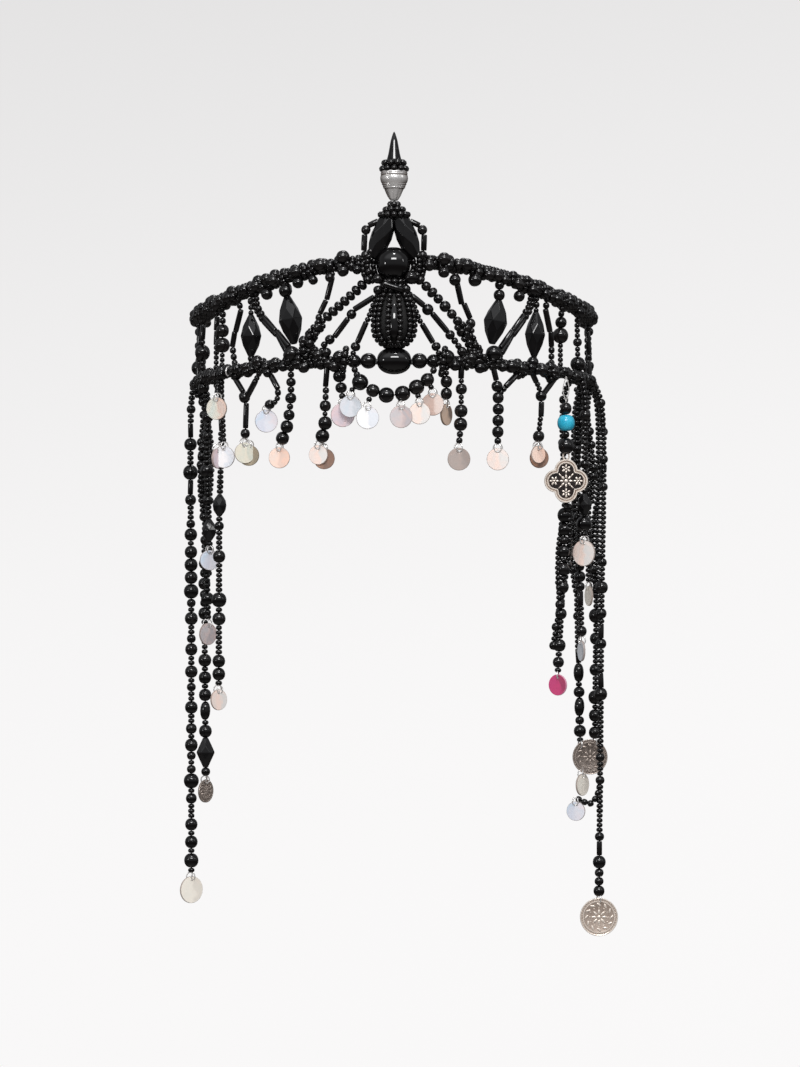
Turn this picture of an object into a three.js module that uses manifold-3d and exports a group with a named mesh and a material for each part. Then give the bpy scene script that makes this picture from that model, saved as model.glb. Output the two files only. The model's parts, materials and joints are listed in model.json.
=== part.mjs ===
// Beaded headdress: two ropes of black beads round the brow from temple to temple, a beaded body with
// six legs and a spire in the middle, short drops with shell discs, and long strands at both temples.
// Millimetres, +Z up, the front towards -Y and +X to the right seen from the front.
// The origin is the middle of the head opening, at the height of the lower rope.
import * as THREE from 'three';
import { mergeVertices } from 'three/addons/utils/BufferGeometryUtils.js';
import Module from 'manifold-3d';

const wasm = await Module();
wasm.setup();

const { Vector2, Vector3 } = THREE;

// Clear space between two pieces that lie against each other.
const GAP = 0.35;

// Corners closer than this are one corner.
const WELD = 1e-4;

// The ropes follow ellipses round the head. Each climbs from the temple towards the brow.
const LOWER = { halfWidth: 86, halfDepth: 101, temple: -3.2, rise: 7, power: 1 };
const UPPER = { halfWidth: 85.5, halfDepth: 100, temple: 27, rise: 18.5, power: 2.25 };
const BACK = { halfWidth: 86, halfDepth: 101, temple: -3.6, rise: 15.5, power: 1 };
const ROPE_END = 98;

// Two runs of one rope overlap by this angle.
const LAP = 0.7;

// Beads by the letter that the stringing charts use. The rings are the turns of the bead's outline,
// as shares of its half length and half width; a bead without rings is no thicker than its strand.
const SMALL = [[0, 1]];
const ROUND = [[-0.42, 0.92], [0.42, 0.92]];
const BEADS = {
  s: { long: 1.9, across: 2.2, rings: [] },
  p: { long: 3.0, across: 3.1, rings: [] },
  b: { long: 6.5, across: 2.3, rings: [] },
  B: { long: 10, across: 2.3, rings: [] },
  e: { long: 3.8, across: 4.1, rings: SMALL },
  m: { long: 4.6, across: 4.9, rings: SMALL },
  g: { long: 5.4, across: 5.6, rings: ROUND },
  x: { long: 6.3, across: 6.5, rings: ROUND },
  l: { long: 8.4, across: 4.6, rings: [[-0.7, 0.95], [0.7, 0.95]] },
  f: { long: 9.8, across: 6.8, rings: SMALL },
  F: { long: 13.3, across: 8.2, rings: SMALL },
  w: { long: 7.2, across: 5.4, rings: SMALL },
  W: { long: 8, across: 6.8, rings: SMALL },
  V: { long: 9, across: 8.2, rings: SMALL },
};
const STRAND = 1.1;
const SIDES = 5;
const LONGEST_STEP = 7;
const SHORTEST_STEP = 0.1;
const ROUTE_STEPS = 120;

// The half width of a single thread where it ties a disc or passes through a ring.
const THREAD = 0.6;

// grip is how high on its ring a strand ends, as a share of the ring's radius.
const RING = { radius: 1.3, wire: 0.32, grip: 0.8 };
const DISC = { thick: 1.1, sides: 12, hole: 0.85, inset: 1.6 };

const FINISHES = {
  jet: { color: 0x0b0a0a, roughness: 0.18, metalness: 0 },
  silver: { color: 0xa9a49c, roughness: 0.3, metalness: 1 },
  turquoise: { color: 0x1fa6c4, roughness: 0.35, metalness: 0 },
  pink: { color: 0xb02a63, roughness: 0.3, metalness: 0 },
};

const radians = THREE.MathUtils.degToRad;

// The line of a rope between two angles, counted in degrees from the brow towards the right temple.
class BandCurve extends THREE.Curve {
  constructor(band, from, to) {
    super();
    Object.assign(this, { band, from, to });
  }

  getPoint(t) {
    const angle = radians(this.from + (this.to - this.from) * t);
    const { halfWidth, halfDepth, temple, rise, power } = this.band;
    const height = temple + rise * Math.abs(Math.cos(angle)) ** power;
    return new Vector3(halfWidth * Math.sin(angle), -halfDepth * Math.cos(angle), height);
  }
}

// A closed geometry as a solid: shared corners are merged and triangles without area are left out.
function solid(geometry) {
  const bare = geometry.clone();
  bare.deleteAttribute('normal');
  bare.deleteAttribute('uv');
  const merged = mergeVertices(bare, WELD);
  const corners = merged.getIndex().array;
  const kept = [];
  for (let i = 0; i < corners.length; i += 3) {
    const [a, b, c] = corners.slice(i, i + 3);
    if (a !== b && b !== c && c !== a) kept.push(a, b, c);
  }
  return new wasm.Manifold(new wasm.Mesh({
    numProp: 3,
    vertProperties: new Float32Array(merged.getAttribute('position').array),
    triVerts: new Uint32Array(kept),
  }));
}

function join(...solids) {
  return solids.flat(2).reduce((all, one) => all.add(one));
}

// A turned outline of [radius, height] rows, standing on a point of the Z axis.
function turned(rows, at, { sides = 12, depth = 1, grow = 0 } = {}) {
  const last = rows.length - 1;
  const profile = rows.map(([radius, height], i) => {
    const end = i === 0 ? -grow : i === last ? grow : 0;
    return new Vector2(radius > 0 ? radius + grow : 0, height + end);
  });
  const geometry = new THREE.LatheGeometry(profile, sides).rotateX(Math.PI / 2).scale(1, depth, 1);
  return solid(geometry.translate(...at));
}

// A single bead lying from one point to another.
function bead(from, to, across, outline, { sides = 10, grow = 0 } = {}) {
  const along = to.clone().sub(from);
  const half = along.length() / 2 + grow;
  const rows = outline.map(([height, width]) => new Vector2(width * (across / 2 + grow), height * half));
  const profile = [new Vector2(0, -half), ...rows, new Vector2(0, half)];
  const turn = new THREE.Quaternion().setFromUnitVectors(new Vector3(0, 1, 0), along.normalize());
  const middle = from.clone().add(to).multiplyScalar(0.5);
  return solid(new THREE.LatheGeometry(profile, sides).applyQuaternion(turn).translate(...middle));
}

const OVAL = [[-0.92, 0.42], [-0.7, 0.72], [-0.36, 0.93], [0, 1], [0.36, 0.93], [0.7, 0.72], [0.92, 0.42]];
const FACETED = [[-0.96, 0.3], [-0.5, 0.8], [0, 1], [0.5, 0.8], [0.96, 0.3]];
const PLAIN_ROUND = [[-0.62, 0.78], [0, 1], [0.62, 0.78]];

// The beads of a chart such as '3s b g': a count where a bead repeats, then its letter.
function readChart(chart) {
  return chart.split(' ').flatMap((word) => {
    const [, count, letter] = word.match(/^(\d*)(\w)$/);
    return Array(Number(count || 1)).fill(BEADS[letter]);
  });
}

// A strand: its beads' outline turned round the thread, then laid along a line.
function strand(line, chart, { thread = STRAND, sides = SIDES, grow = 0 } = {}) {
  const beads = readChart(chart);
  const length = line.getLength();
  const spread = length / beads.reduce((sum, one) => sum + one.long, 0);
  const radius = thread + grow;
  const profile = [new Vector2(0, -grow), new Vector2(radius, -grow)];
  let at = 0;
  let placed = 0;
  for (const { long, across, rings } of beads) {
    const half = (long * spread) / 2;
    const middle = at + half;
    if (rings.length > 0 && at - placed > SHORTEST_STEP) profile.push(new Vector2(radius, at));
    for (const [along, width] of rings) {
      profile.push(new Vector2(Math.max((across / 2) * width, thread) + grow, middle + along * half));
    }
    at += 2 * half;
    const due = at - placed > LONGEST_STEP;
    if ((rings.length > 0 || due) && length - at > SHORTEST_STEP) {
      profile.push(new Vector2(radius, at));
      placed = at;
    }
  }
  profile.push(new Vector2(radius, length + grow), new Vector2(0, length + grow));

  const geometry = new THREE.LatheGeometry(profile, sides);
  const frames = line.computeFrenetFrames(ROUTE_STEPS, false);
  const position = geometry.getAttribute('position');
  for (let i = 0; i < position.count; i += 1) {
    const along = position.getY(i);
    const share = THREE.MathUtils.clamp(along / length, 0, 1);
    const k = Math.round(share * ROUTE_STEPS);
    const point = line.getPointAt(share)
      .addScaledVector(frames.tangents[k], along - share * length)
      .addScaledVector(frames.normals[k], position.getX(i))
      .addScaledVector(frames.binormals[k], -position.getZ(i));
    position.setXYZ(i, ...point);
  }
  return solid(geometry);
}

function route(points) {
  if (points.length === 2) return new THREE.LineCurve3(...points);
  return new THREE.CatmullRomCurve3(points, false, 'centripetal');
}

// A point over the front of the band, by its x and z as seen from the front.
function onBand(x, z, out = 0) {
  const share = x / (LOWER.halfWidth + out);
  return new Vector3(x, -(LOWER.halfDepth + out) * Math.sqrt(1 - share * share), z);
}

// A jump ring that hangs edge on to its disc. turn is the disc's turn about the upright, in degrees.
function ring(centre, turn, grow = 0) {
  const hoop = new THREE.TorusGeometry(RING.radius, RING.wire + grow, 3, 6).rotateY(Math.PI / 2);
  return solid(hoop.rotateZ(radians(turn)).translate(...centre));
}

// The drill that makes the hole for a ring, lying front to back.
function drill() {
  return solid(new THREE.CylinderGeometry(DISC.hole, DISC.hole, 3 * DISC.thick, 7));
}

// A disc that faces the front when turn is 0. Its centre and width are as seen.
function disc({ at, across, turn = 0, grow = 0, drilled = false }) {
  const radius = across / 2;
  const blank = new THREE.CylinderGeometry(radius + grow, radius + grow, DISC.thick + 2 * grow, DISC.sides);
  let round = solid(blank);
  if (drilled) round = round.subtract(drill().translate([0, 0, radius - DISC.inset]));
  return round.rotate([0, 0, turn]).translate([at.x, at.y, at.z]);
}

// The middle of the ring that carries a disc, and the point where a strand meets that ring.
function ringCentre({ at, across }, lift = 0) {
  return at.clone().add(new Vector3(0, 0, across / 2 - DISC.inset + RING.radius - RING.wire + lift));
}

// The point of a ring that a strand runs into.
function topOf(centre) {
  return centre.clone().add(new Vector3(0, 0, RING.grip * RING.radius));
}

function ringTop(row) {
  return topOf(ringCentre(row));
}

const pieces = [];

function piece(name, finish, build) {
  pieces.push({ name, finish, build });
}

// Spire and crest, all on the plumb line over the centre ornament.
const MIDDLE = { x: 0.2, y: -101 };
const SPIRE = [MIDDLE.x, MIDDLE.y, 0];

piece('spike', 'jet', (grow) => turned(
  [[0, 82.3], [2.4, 82.3], [3.05, 86.5], [2.5, 90.2], [1.35, 94.6], [0.4, 98.3], [0, 98.9]],
  SPIRE,
  { sides: 10, grow },
));

piece('silver_cup', 'silver', (grow) => turned(
  [[0, 70.3], [1.9, 70.3], [3.4, 73.2], [4.1, 75], [4.2, 76.9], [5.6, 77.7], [5.8, 79.4], [5.2, 82.7],
    [4.4, 82.7], [4.4, 81.9], [0, 81.9]],
  SPIRE,
  { sides: 14, grow },
));

piece('spike_collar', 'jet', (grow) => turned(
  [[0, 83.1], [4.7, 83.1], [5.9, 84.4], [5.2, 85.4], [5, 86.4], [3.6, 87.3], [0, 87.3]],
  SPIRE,
  { sides: 12, grow },
));

piece('crest_cluster', 'jet', (grow) => turned(
  [[0, 62.9], [5, 62.9], [6.7, 64.6], [4.7, 66.9], [2.2, 69.4], [0, 69.9]],
  SPIRE,
  { sides: 12, depth: 0.62, grow },
));

const CREST_BEAD = { across: 7.9, top: { x: 1.6, z: 62.9 }, foot: { x: 8.2, z: 47.9 } };
const SIDES_OF_FACE = { left: -1, right: 1 };

for (const [side, sign] of Object.entries(SIDES_OF_FACE)) {
  const { across, top, foot } = CREST_BEAD;
  const from = new Vector3(MIDDLE.x + sign * foot.x, MIDDLE.y, foot.z);
  const to = new Vector3(MIDDLE.x + sign * top.x, MIDDLE.y, top.z);
  piece(`crest_bead_${side}`, 'jet', (grow) => bead(from, to, across, FACETED, { sides: 8, grow }));
}

// The centre ornament: a head bead, a long body bead in a cage of seed beads, and the oval below.
const HEAD = { z: 43.7, across: 12.9, y: -102.5 };
const BODY = { y: -103, depth: 0.8, sides: 14, slimmest: 1 };
const CAGE = {
  outline: [[2.6, 9.3], [5.2, 10.3], [8.4, 13.8], [9.4, 18.4], [9, 23.5], [7.5, 29.5], [5, 34]],
  wall: 1.5,
  flute: 0.8,
  ribs: 10,
};
const OVAL_BEAD = { x: 0.2, y: -102, z: 3.7, long: 14.1, across: 11.3 };

const NECK_BUGLE = { left: [-4.8, 35.4], right: [4, 32.8], y: -108.9 };

const headMiddle = new Vector3(MIDDLE.x - 0.3, HEAD.y, HEAD.z);

piece('head_bead', 'jet', (grow) => bead(
  headMiddle.clone().add(new Vector3(0, 0, -HEAD.across / 2)),
  headMiddle.clone().add(new Vector3(0, 0, HEAD.across / 2)),
  HEAD.across,
  OVAL,
  { sides: 14, grow },
));

piece('centre_oval_bead', 'jet', (grow) => {
  const { x, y, z, long, across } = OVAL_BEAD;
  const ends = [-1, 1].map((sign) => new Vector3(x + (sign * long) / 2, y, z));
  return bead(...ends, across, OVAL, { sides: 14, grow });
});

piece('body_bead', 'jet', (grow) => {
  const inset = CAGE.wall + CAGE.flute + 2 * GAP;
  const rows = CAGE.outline.map(([radius, z]) => [Math.max(radius - inset, BODY.slimmest), z]);
  const foot = [0, rows[0][1]];
  const head = [0, rows[rows.length - 1][1]];
  const at = [MIDDLE.x, BODY.y, 0];
  return turned([foot, ...rows, head], at, { sides: BODY.sides, depth: BODY.depth, grow });
});

piece('neck_bugle', 'jet', (grow) => {
  const { left, right, y } = NECK_BUGLE;
  const ends = [left, right].map(([x, z]) => new Vector3(x, y, z));
  return bead(...ends, BEADS.b.across, [[-1, 1], [1, 1]], { sides: 8, grow });
});

// The cage is a fluted sleeve, open at both ends: each flute is one row of seed beads.
piece('body_cage', 'jet', (grow) => {
  const { outline, wall, flute, ribs } = CAGE;
  const outside = outline.map(([radius, z]) => new Vector2(radius + grow, z));
  const inside = outline.map(([radius, z]) => new Vector2(radius - wall - flute, z)).reverse();
  const geometry = new THREE.LatheGeometry([...outside, ...inside, outside[0]], 2 * ribs);
  const position = geometry.getAttribute('position');
  const rows = outline.length * 2 + 1;
  for (let i = 0; i < position.count; i += 1) {
    const column = Math.floor(i / rows);
    const isOutside = i % rows < outline.length || i % rows === rows - 1;
    if (isOutside && column % 2 === 1) {
      const radius = Math.hypot(position.getX(i), position.getZ(i));
      const share = (radius - flute) / radius;
      position.setXYZ(i, position.getX(i) * share, position.getY(i), position.getZ(i) * share);
    }
  }
  geometry.rotateX(Math.PI / 2).scale(1, BODY.depth, 1);
  return solid(geometry.translate(MIDDLE.x, BODY.y, 0));
});

// Four faceted beads stand between the ropes. Ends are x and z on the band.
const UPRIGHT_BEADS = [
  { name: 'left_inner', top: [-44.7, 31.5], foot: [-41.7, 11.3], across: 10.5 },
  { name: 'left_outer', top: [-60.3, 24.3], foot: [-60.3, 6.6], across: 9.3 },
  { name: 'right_inner', top: [44.1, 29.8], foot: [41.1, 11.3], across: 10.5 },
  { name: 'right_outer', top: [60.1, 25.6], foot: [59.2, 6.5], across: 9.1 },
];

for (const { name, top, foot, across } of UPRIGHT_BEADS) {
  piece(`faceted_bead_${name}`, 'jet', (grow) => (
    bead(onBand(...foot), onBand(...top), across, FACETED, { sides: 8, grow })
  ));
}

// Rounds that stand out of the ropes: x, z and width. Each is joined to its rope.
const LOWER_ROUNDS = {
  left: [[-42.6, 7.2, 6.6], [-57.5, 4.6, 5], [-31.5, 6.4, 4.6]],
  right: [[41.8, 7.4, 6.6], [58.6, 4.2, 5], [32.4, 5.2, 4.6]],
};
const UPPER_ROUNDS = {
  left: [[-21.1, 47.2, 5.4], [-30.7, 44.6, 5.6], [-53.3, 33.2, 4.8]],
  right: [[20.9, 46.6, 5.4], [30.6, 44.9, 5.6], [33.9, 38, 5], [52.7, 32.8, 5]],
};

// The brow row of round beads, then the bundle that runs on to the temple.
const BROW_ROW = {
  left: { from: 4.8, to: 18, chart: 'x g g s' },
  right: { from: 5, to: 18, chart: 'x g s g' },
};

function rounds(rows, grow) {
  return rows.map(([x, z, across]) => {
    const half = new Vector3(0, 0, across / 2);
    const middle = onBand(x, z);
    return bead(middle.clone().sub(half), middle.clone().add(half), across, PLAIN_ROUND, { sides: 6, grow });
  });
}

for (const [side, sign] of Object.entries(SIDES_OF_FACE)) {
  const { from, to, chart } = BROW_ROW[side];
  piece(`lower_rope_${side}`, 'jet', (grow) => join(
    strand(new BandCurve(LOWER, sign * from, sign * to), chart, { grow }),
    strand(new BandCurve(LOWER, sign * (to - LAP), sign * ROPE_END), '17w', { thread: 1.9, grow }),
    rounds(LOWER_ROUNDS[side], grow),
  ));
}

// What hangs between the ropes with the upper one: bugles and seed strands, by the x and z of their
// ends, and upright strands at the temple, by their angle.
const STRUTS = {
  left: [
    { points: [[-58, 34], [-56.8, 26.5], [-45.4, 12], [-43.6, 7]], chart: 's p 2b 2s' },
    { points: [[-65.8, 32], [-65.2, 26], [-68.4, 12.2], [-67, 1]], chart: 's p B 3s' },
    { points: [[-60.4, 34], [-60.3, 24]], chart: 's p 2s' },
    { points: [[-45.4, 38], [-44.8, 31.3]], chart: 'm' },
    { points: [[-73, 31], [-73.2, 14], [-73.4, 1]], chart: 's p g x 4s' },
  ],
  right: [
    { points: [[58, 34], [56.4, 27], [46, 11.4], [44, 7]], chart: 's p 2b 2s' },
    { points: [[64.8, 32], [64.6, 26], [66.8, 15], [66.8, 1]], chart: 's p B 4s' },
    { points: [[60.4, 34], [60.1, 25.2]], chart: 's p s' },
    { points: [[44.4, 38], [44.1, 29.5]], chart: 'e m' },
    { points: [[71.6, 31], [71, 14], [71, 1]], chart: 's p m x 4s' },
  ],
};
const TEMPLE_STRANDS = [
  { angle: 67, chart: '4s p 8s' },
  { angle: 76, chart: 's p b s x 2s' },
  { angle: 85, chart: '4s p 8s' },
  { angle: 95, chart: '2s e s e s m s e' },
];

// Where the upper rope starts beside the centre ornament and where it grows thicker, as angles.
const UPPER_RUN = { from: 7.5, turn: 36 };

for (const [side, sign] of Object.entries(SIDES_OF_FACE)) {
  const { from, turn } = UPPER_RUN;
  const upright = (angle) => route([
    new BandCurve(UPPER, sign * angle, 0).getPoint(0),
    new BandCurve(LOWER, sign * angle, 0).getPoint(0),
  ]);
  piece(`upper_rope_${side}`, 'jet', (grow) => join(
    strand(new BandCurve(UPPER, sign * from, sign * turn), '6W', { thread: 2.3, grow }),
    strand(new BandCurve(UPPER, sign * (turn - LAP), sign * ROPE_END), '10V', { thread: 2.9, grow }),
    rounds(UPPER_ROUNDS[side], grow),
    STRUTS[side].map(({ points, chart }) => (
      strand(route(points.map(([x, z]) => onBand(x, z))), chart, { thread: 1.2, grow })
    )),
    TEMPLE_STRANDS.map(({ angle, chart }) => strand(upright(angle), chart, { thread: 1.3, grow })),
  ));
}

piece('back_strand', 'jet', (grow) => (
  strand(new BandCurve(BACK, ROPE_END, 360 - ROPE_END), '90p', { thread: 1.6, grow })
));

// The seed clusters that hold the head bead from both sides, and the frames round the crest.
const HEAD_CLUSTER = { radius: 9.4, from: -52, to: 40, thread: 2 };
const CREST_FRAME = [[4.6, 62.6], [9.4, 60.4], [11.5, 58.6], [12.4, 51.6], [11.4, 45.6]];

for (const [side, sign] of Object.entries(SIDES_OF_FACE)) {
  piece(`head_cluster_${side}`, 'jet', (grow) => {
    const { radius, from, to, thread } = HEAD_CLUSTER;
    const turns = [from, (from + to) / 2, to].map(radians);
    const points = turns.map((turn) => new Vector3(
      headMiddle.x + sign * radius * Math.cos(turn),
      headMiddle.y,
      headMiddle.z + radius * Math.sin(turn),
    ));
    return strand(route(points), '4e', { thread, grow });
  });
  piece(`crest_frame_${side}`, 'jet', (grow) => {
    const points = CREST_FRAME.map(([x, z]) => new Vector3(MIDDLE.x + sign * x, MIDDLE.y, z));
    return strand(route(points), '2s p s e b p 2s', { grow });
  });
}

// Six legs run from the body to the lower rope. The first on each side has a strut to the upper rope.
const LEGS = [
  {
    name: 'leg_left_1',
    points: [[-9.5, 38.5], [-19.4, 29.4], [-29.8, 20.1], [-35.5, 12.5], [-38.6, 4]],
    chart: 'm m e m e m 2s e 2s e 2s e s',
    strut: { points: [[-25.3, 41], [-27.4, 31.4], [-31, 22.7], [-33.4, 15]], chart: 's B b p s' },
  },
  {
    name: 'leg_left_2',
    points: [[-6, 31], [-14.9, 25.8], [-24.4, 14.5], [-29, 10.5], [-30.6, 4]],
    chart: 's b m B e 4s',
  },
  {
    name: 'leg_left_3',
    points: [[-7.4, 29.6], [-11, 20.3], [-15.4, 10.8], [-17.8, 4]],
    chart: '6s b e 3s',
  },
  {
    name: 'leg_right_1',
    points: [[9.8, 38.5], [19.4, 28.6], [27.2, 19.6], [32, 12], [36.4, 4]],
    chart: 'm m m g m m 2s e 2s e 2s',
    strut: { points: [[26, 40], [27.2, 32.6], [31.2, 23], [32.8, 15.5]], chart: 's B b e s' },
  },
  {
    name: 'leg_right_2',
    points: [[6, 32], [13.4, 25.8], [21.5, 17], [28, 8.4], [29.6, 4]],
    chart: 's b g b e 5s',
  },
  {
    name: 'leg_right_3',
    points: [[7.6, 29], [11.4, 19.4], [17.9, 9.2], [19.4, 4]],
    chart: '6s B e s',
  },
];

for (const { name, points, chart, strut } of LEGS) {
  const lay = (row) => route(row.map(([x, z]) => onBand(x, z, 1)));
  piece(name, 'jet', (grow) => join(
    strand(lay(points), chart, { grow }),
    strut ? [strand(lay(strut.points), strut.chart, { grow })] : [],
  ));
}

// Short drops, from the centre outwards. Points and disc centres are x and z on the band, out is how
// far they stand in front of it, turn is a disc's turn about the upright, and branch joins from the side.
const DROPS = [
  {
    name: 'drop_left_1',
    out: 0,
    points: [[-23.2, 2]],
    chart: 's g m p',
    discs: [{ at: [-21.2, -18.7], across: 10, turn: 8 }],
  },
  {
    name: 'drop_left_2',
    out: 0,
    points: [[-27.8, 3], [-28.6, -17], [-29, -26]],
    chart: 'B p m s g g',
    discs: [{ at: [-30.6, -35.6], across: 8.8, turn: -20 }, { at: [-29.4, -36.2], across: 8.8, turn: 35 }],
  },
  {
    name: 'drop_left_3',
    out: 0,
    points: [[-43, 2.4], [-43.3, -14], [-45.6, -26]],
    chart: 's p s m s p m m g',
    discs: [{ at: [-48, -36.2], across: 8.9, turn: -5 }],
  },
  {
    name: 'drop_left_4',
    out: 0,
    points: [[-53.4, 2], [-48.6, -8.6], [-49.4, -12.4]],
    chart: 's b p s e',
    discs: [{ at: [-53.6, -20.7], across: 9.6, turn: 6 }],
  },
  {
    name: 'drop_left_5',
    out: 0,
    points: [[-68.4, 0], [-62.9, -11.4], [-62.6, -20]],
    chart: 'B m B e',
    branch: { points: [[-56.4, 0], [-62.6, -11.2]], chart: '2s B' },
    discs: [{ at: [-63, -33.9], across: 8.9, turn: 12 }, { at: [-61.4, -34.9], across: 8.9, turn: -10 }],
  },
  {
    name: 'drop_left_6',
    out: 2,
    points: [[-74.6, -1]],
    chart: '3s',
    discs: [{ at: [-75.4, -14.8], across: 9.6, turn: -24 }],
  },
  {
    name: 'drop_left_7',
    out: 3,
    points: [[-73.4, -0.6], [-73.4, -8]],
    chart: '6s p 5s',
    discs: [{ at: [-72.4, -35.4], across: 9.4, turn: -10 }, { at: [-74.6, -36], across: 8.6, turn: 62 }],
  },
  {
    name: 'drop_right_1',
    out: 0,
    points: [[22, 2]],
    chart: '2s m m',
    discs: [{ at: [21.9, -18.5], across: 9.1, turn: 60 }],
  },
  {
    name: 'drop_right_2',
    out: 0,
    points: [[28.2, 3], [28.1, -16], [27.6, -27]],
    chart: 'b s m s g g p',
    discs: [{ at: [27.2, -37], across: 9.5, turn: 5 }],
  },
  {
    name: 'drop_right_3',
    out: 0,
    points: [[41.6, 2.4], [43.6, -9], [43.6, -26]],
    chart: 'b m m p m m m p',
    branch: { points: [[53, 0.4], [44.4, -9.6]], chart: 'B s' },
    discs: [{ at: [43.6, -36.9], across: 9.3, turn: -4 }],
  },
  {
    name: 'drop_right_4',
    out: 0,
    points: [[57.8, 1], [62.3, -9.6], [61.4, -25]],
    chart: 'b s m b s m',
    branch: { points: [[69, -1], [63, -9.8]], chart: 'B' },
    discs: [{ at: [61.2, -35.1], across: 8.6, turn: 40 }, { at: [62.2, -36], across: 8.6, turn: -20 }],
  },
];
const DISC_APART = 1.9;

function placeDiscs(rows, out) {
  return rows.map((row, i) => ({ ...row, at: onBand(...row.at, out - i * DISC_APART) }));
}

function hangDisc(row, grow) {
  return [ring(ringCentre(row), row.turn ?? 0, grow), disc({ ...row, grow })];
}

for (const { name, out, points, chart, branch, discs } of DROPS) {
  const placed = placeDiscs(discs, out);
  const lay = (row) => row.map(([x, z], i) => onBand(x, z, i === 0 ? 0 : out));
  const foot = ringTop(placed[0]);
  piece(name, 'jet', (grow) => join(
    strand(route([...lay(points), foot]), chart, { grow }),
    branch ? [strand(route(lay(branch.points)), branch.chart, { grow })] : [],
    placed.slice(1).map((row) => strand(route([foot, ringTop(row)]), 's', { thread: THREAD, grow })),
    placed.map((row) => hangDisc(row, grow)),
  ));
}

// The swag under the centre row, hung from the lower rope at both ends, with five discs.
const SWAG = {
  points: [[-16.6, 1], [-13.9, -5.2], [-8.6, -8.7], [-3, -10.6], [3.7, -9.9], [9.5, -7.3], [14, -4.2],
    [17.4, 1]],
  chart: 's g s g s x s x s g s g 2s',
  out: 3,
};
const SWAG_DISCS = [
  { at: [-17.9, -15.2], across: 9.2, turn: -8, out: 2.6 },
  { at: [-10.8, -20], across: 9.5, turn: 4, out: 4.6 },
  { at: [3.1, -19.6], across: 9.4, turn: -3, out: 4.6 },
  { at: [10.7, -18.2], across: 9.1, turn: 8, out: 4.6 },
  { at: [16.2, -14.4], across: 9.4, turn: -6, out: 2.6 },
];

piece('brow_swag', 'jet', (grow) => {
  const along = route(SWAG.points.map(([x, z]) => onBand(x, z, SWAG.out)));
  const hung = SWAG_DISCS.map(({ at, across, turn, out }) => {
    const row = { at: onBand(...at, out), across, turn };
    const top = ringTop(row);
    const ends = along.getPoints(60).reduce((best, one) => (
      one.distanceTo(top) < best.distanceTo(top) ? one : best
    ));
    return [hangDisc(row, grow), strand(route([ends, top]), 's', { thread: THREAD, grow })];
  });
  return join(strand(along, SWAG.chart, { grow }), hung.flat(2));
});

// Long strands at the temples: x and y where each hangs, its bottom x where it drifts, and its end disc.
const LONG_STRANDS = [
  {
    name: 'strand_left_outer',
    top: [-89.3, 2],
    chart: 'p 2s p 2s e 2s p b g 3s x b m 3s e 2s g 2s g s g g p p x e p g p s e g p p g s e p p g s p '
      + 'm p p g e p p e s x s p m s p s g p g s x p',
    disc: { at: [-89.3, 2, -224.9], across: 11.8, turn: 38 },
  },
  {
    name: 'strand_left_inner',
    top: [-74.9, -46],
    chart: '6s p 2s b p 3s e 3s p 2s p f s e 4s g 3s p p p p x s g p s p 2s p g g p',
    disc: { at: [-75.1, -46, -139.3], across: 9, turn: 44 },
  },
  {
    name: 'strand_left_front',
    top: [-80.9, -31],
    chart: 's m 4s m 3s e 5s g 4s e 3s f p p',
    disc: { at: [-79.6, -31, -79.5], across: 8.8, turn: 15 },
  },
  {
    name: 'strand_left_back',
    top: [-82.4, -14],
    chart: '8s e 8s m 6s g 6s m 5s e 4s g 3s',
    disc: { at: [-81.2, -14, -111.9], across: 9.6, turn: 43 },
  },
  {
    name: 'strand_left_rear',
    top: [-84.4, 20],
    chart: '6s e 8s m 7s e 8s m 6s e 4s m e g e e g 3s m 5s g p p g p g l p g F e',
    disc: { at: [-83.8, 20, -182.6], across: 10.2, turn: 55 },
  },
  {
    name: 'strand_right_brow',
    top: [81.9, -44],
    chart: '9s m 8s e 6s f x s',
    disc: { at: [81.6, -44, -76.4], across: 11.2, turn: -36 },
  },
  {
    name: 'strand_right_thin',
    top: [84.6, -18],
    chart: '12s p 12s p 12s p 3s',
    disc: { at: [84.9, -18, -95.2], across: 8.7, turn: -72 },
  },
  {
    name: 'strand_right_middle',
    top: [79.8, -33],
    chart: '14s e 12s m 8s e m e b 2s p s m',
    disc: { at: [81, -33, -118.7], across: 9, turn: -75 },
  },
];

// The point of the lower rope nearest to a strand, where the strand is tied.
function tiedAt(x, y) {
  const angle = THREE.MathUtils.radToDeg(Math.atan2(x / LOWER.halfWidth, -y / LOWER.halfDepth));
  return new BandCurve(LOWER, angle, angle).getPoint(0);
}

const TIE_DROP = 8;

function hangingRoute([x, y], end) {
  const tie = tiedAt(x, y);
  return route([tie, new Vector3(x, y, tie.z - TIE_DROP), new Vector3(x, y, (tie.z + end.z) / 2), end]);
}

for (const { name, top, chart, disc: { at, across, turn } } of LONG_STRANDS) {
  const row = { at: new Vector3(...at), across, turn };
  piece(name, 'jet', (grow) => join(
    strand(hangingRoute(top, ringTop(row)), chart, { grow }),
    hangDisc(row, grow),
  ));
}

// The front strand on the right ends in a pink disc that swings on its own ring.
const PINK = { at: new Vector3(70.3, -47, -132.9), across: 9.1, turn: -36 };

piece('pink_disc', 'pink', (grow) => disc({ ...PINK, grow, drilled: true }));

piece('strand_right_front', 'jet', (grow) => {
  const centre = ringCentre(PINK, RING.wire);
  const end = topOf(centre);
  const chart = '8s e 8s e 7s m 2s x s x g e g s g s g p 2s m 2s p s g p m p';
  return join(strand(hangingRoute([73.3, -47], end), chart, { grow }), ring(centre, PINK.turn, grow));
});

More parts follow.
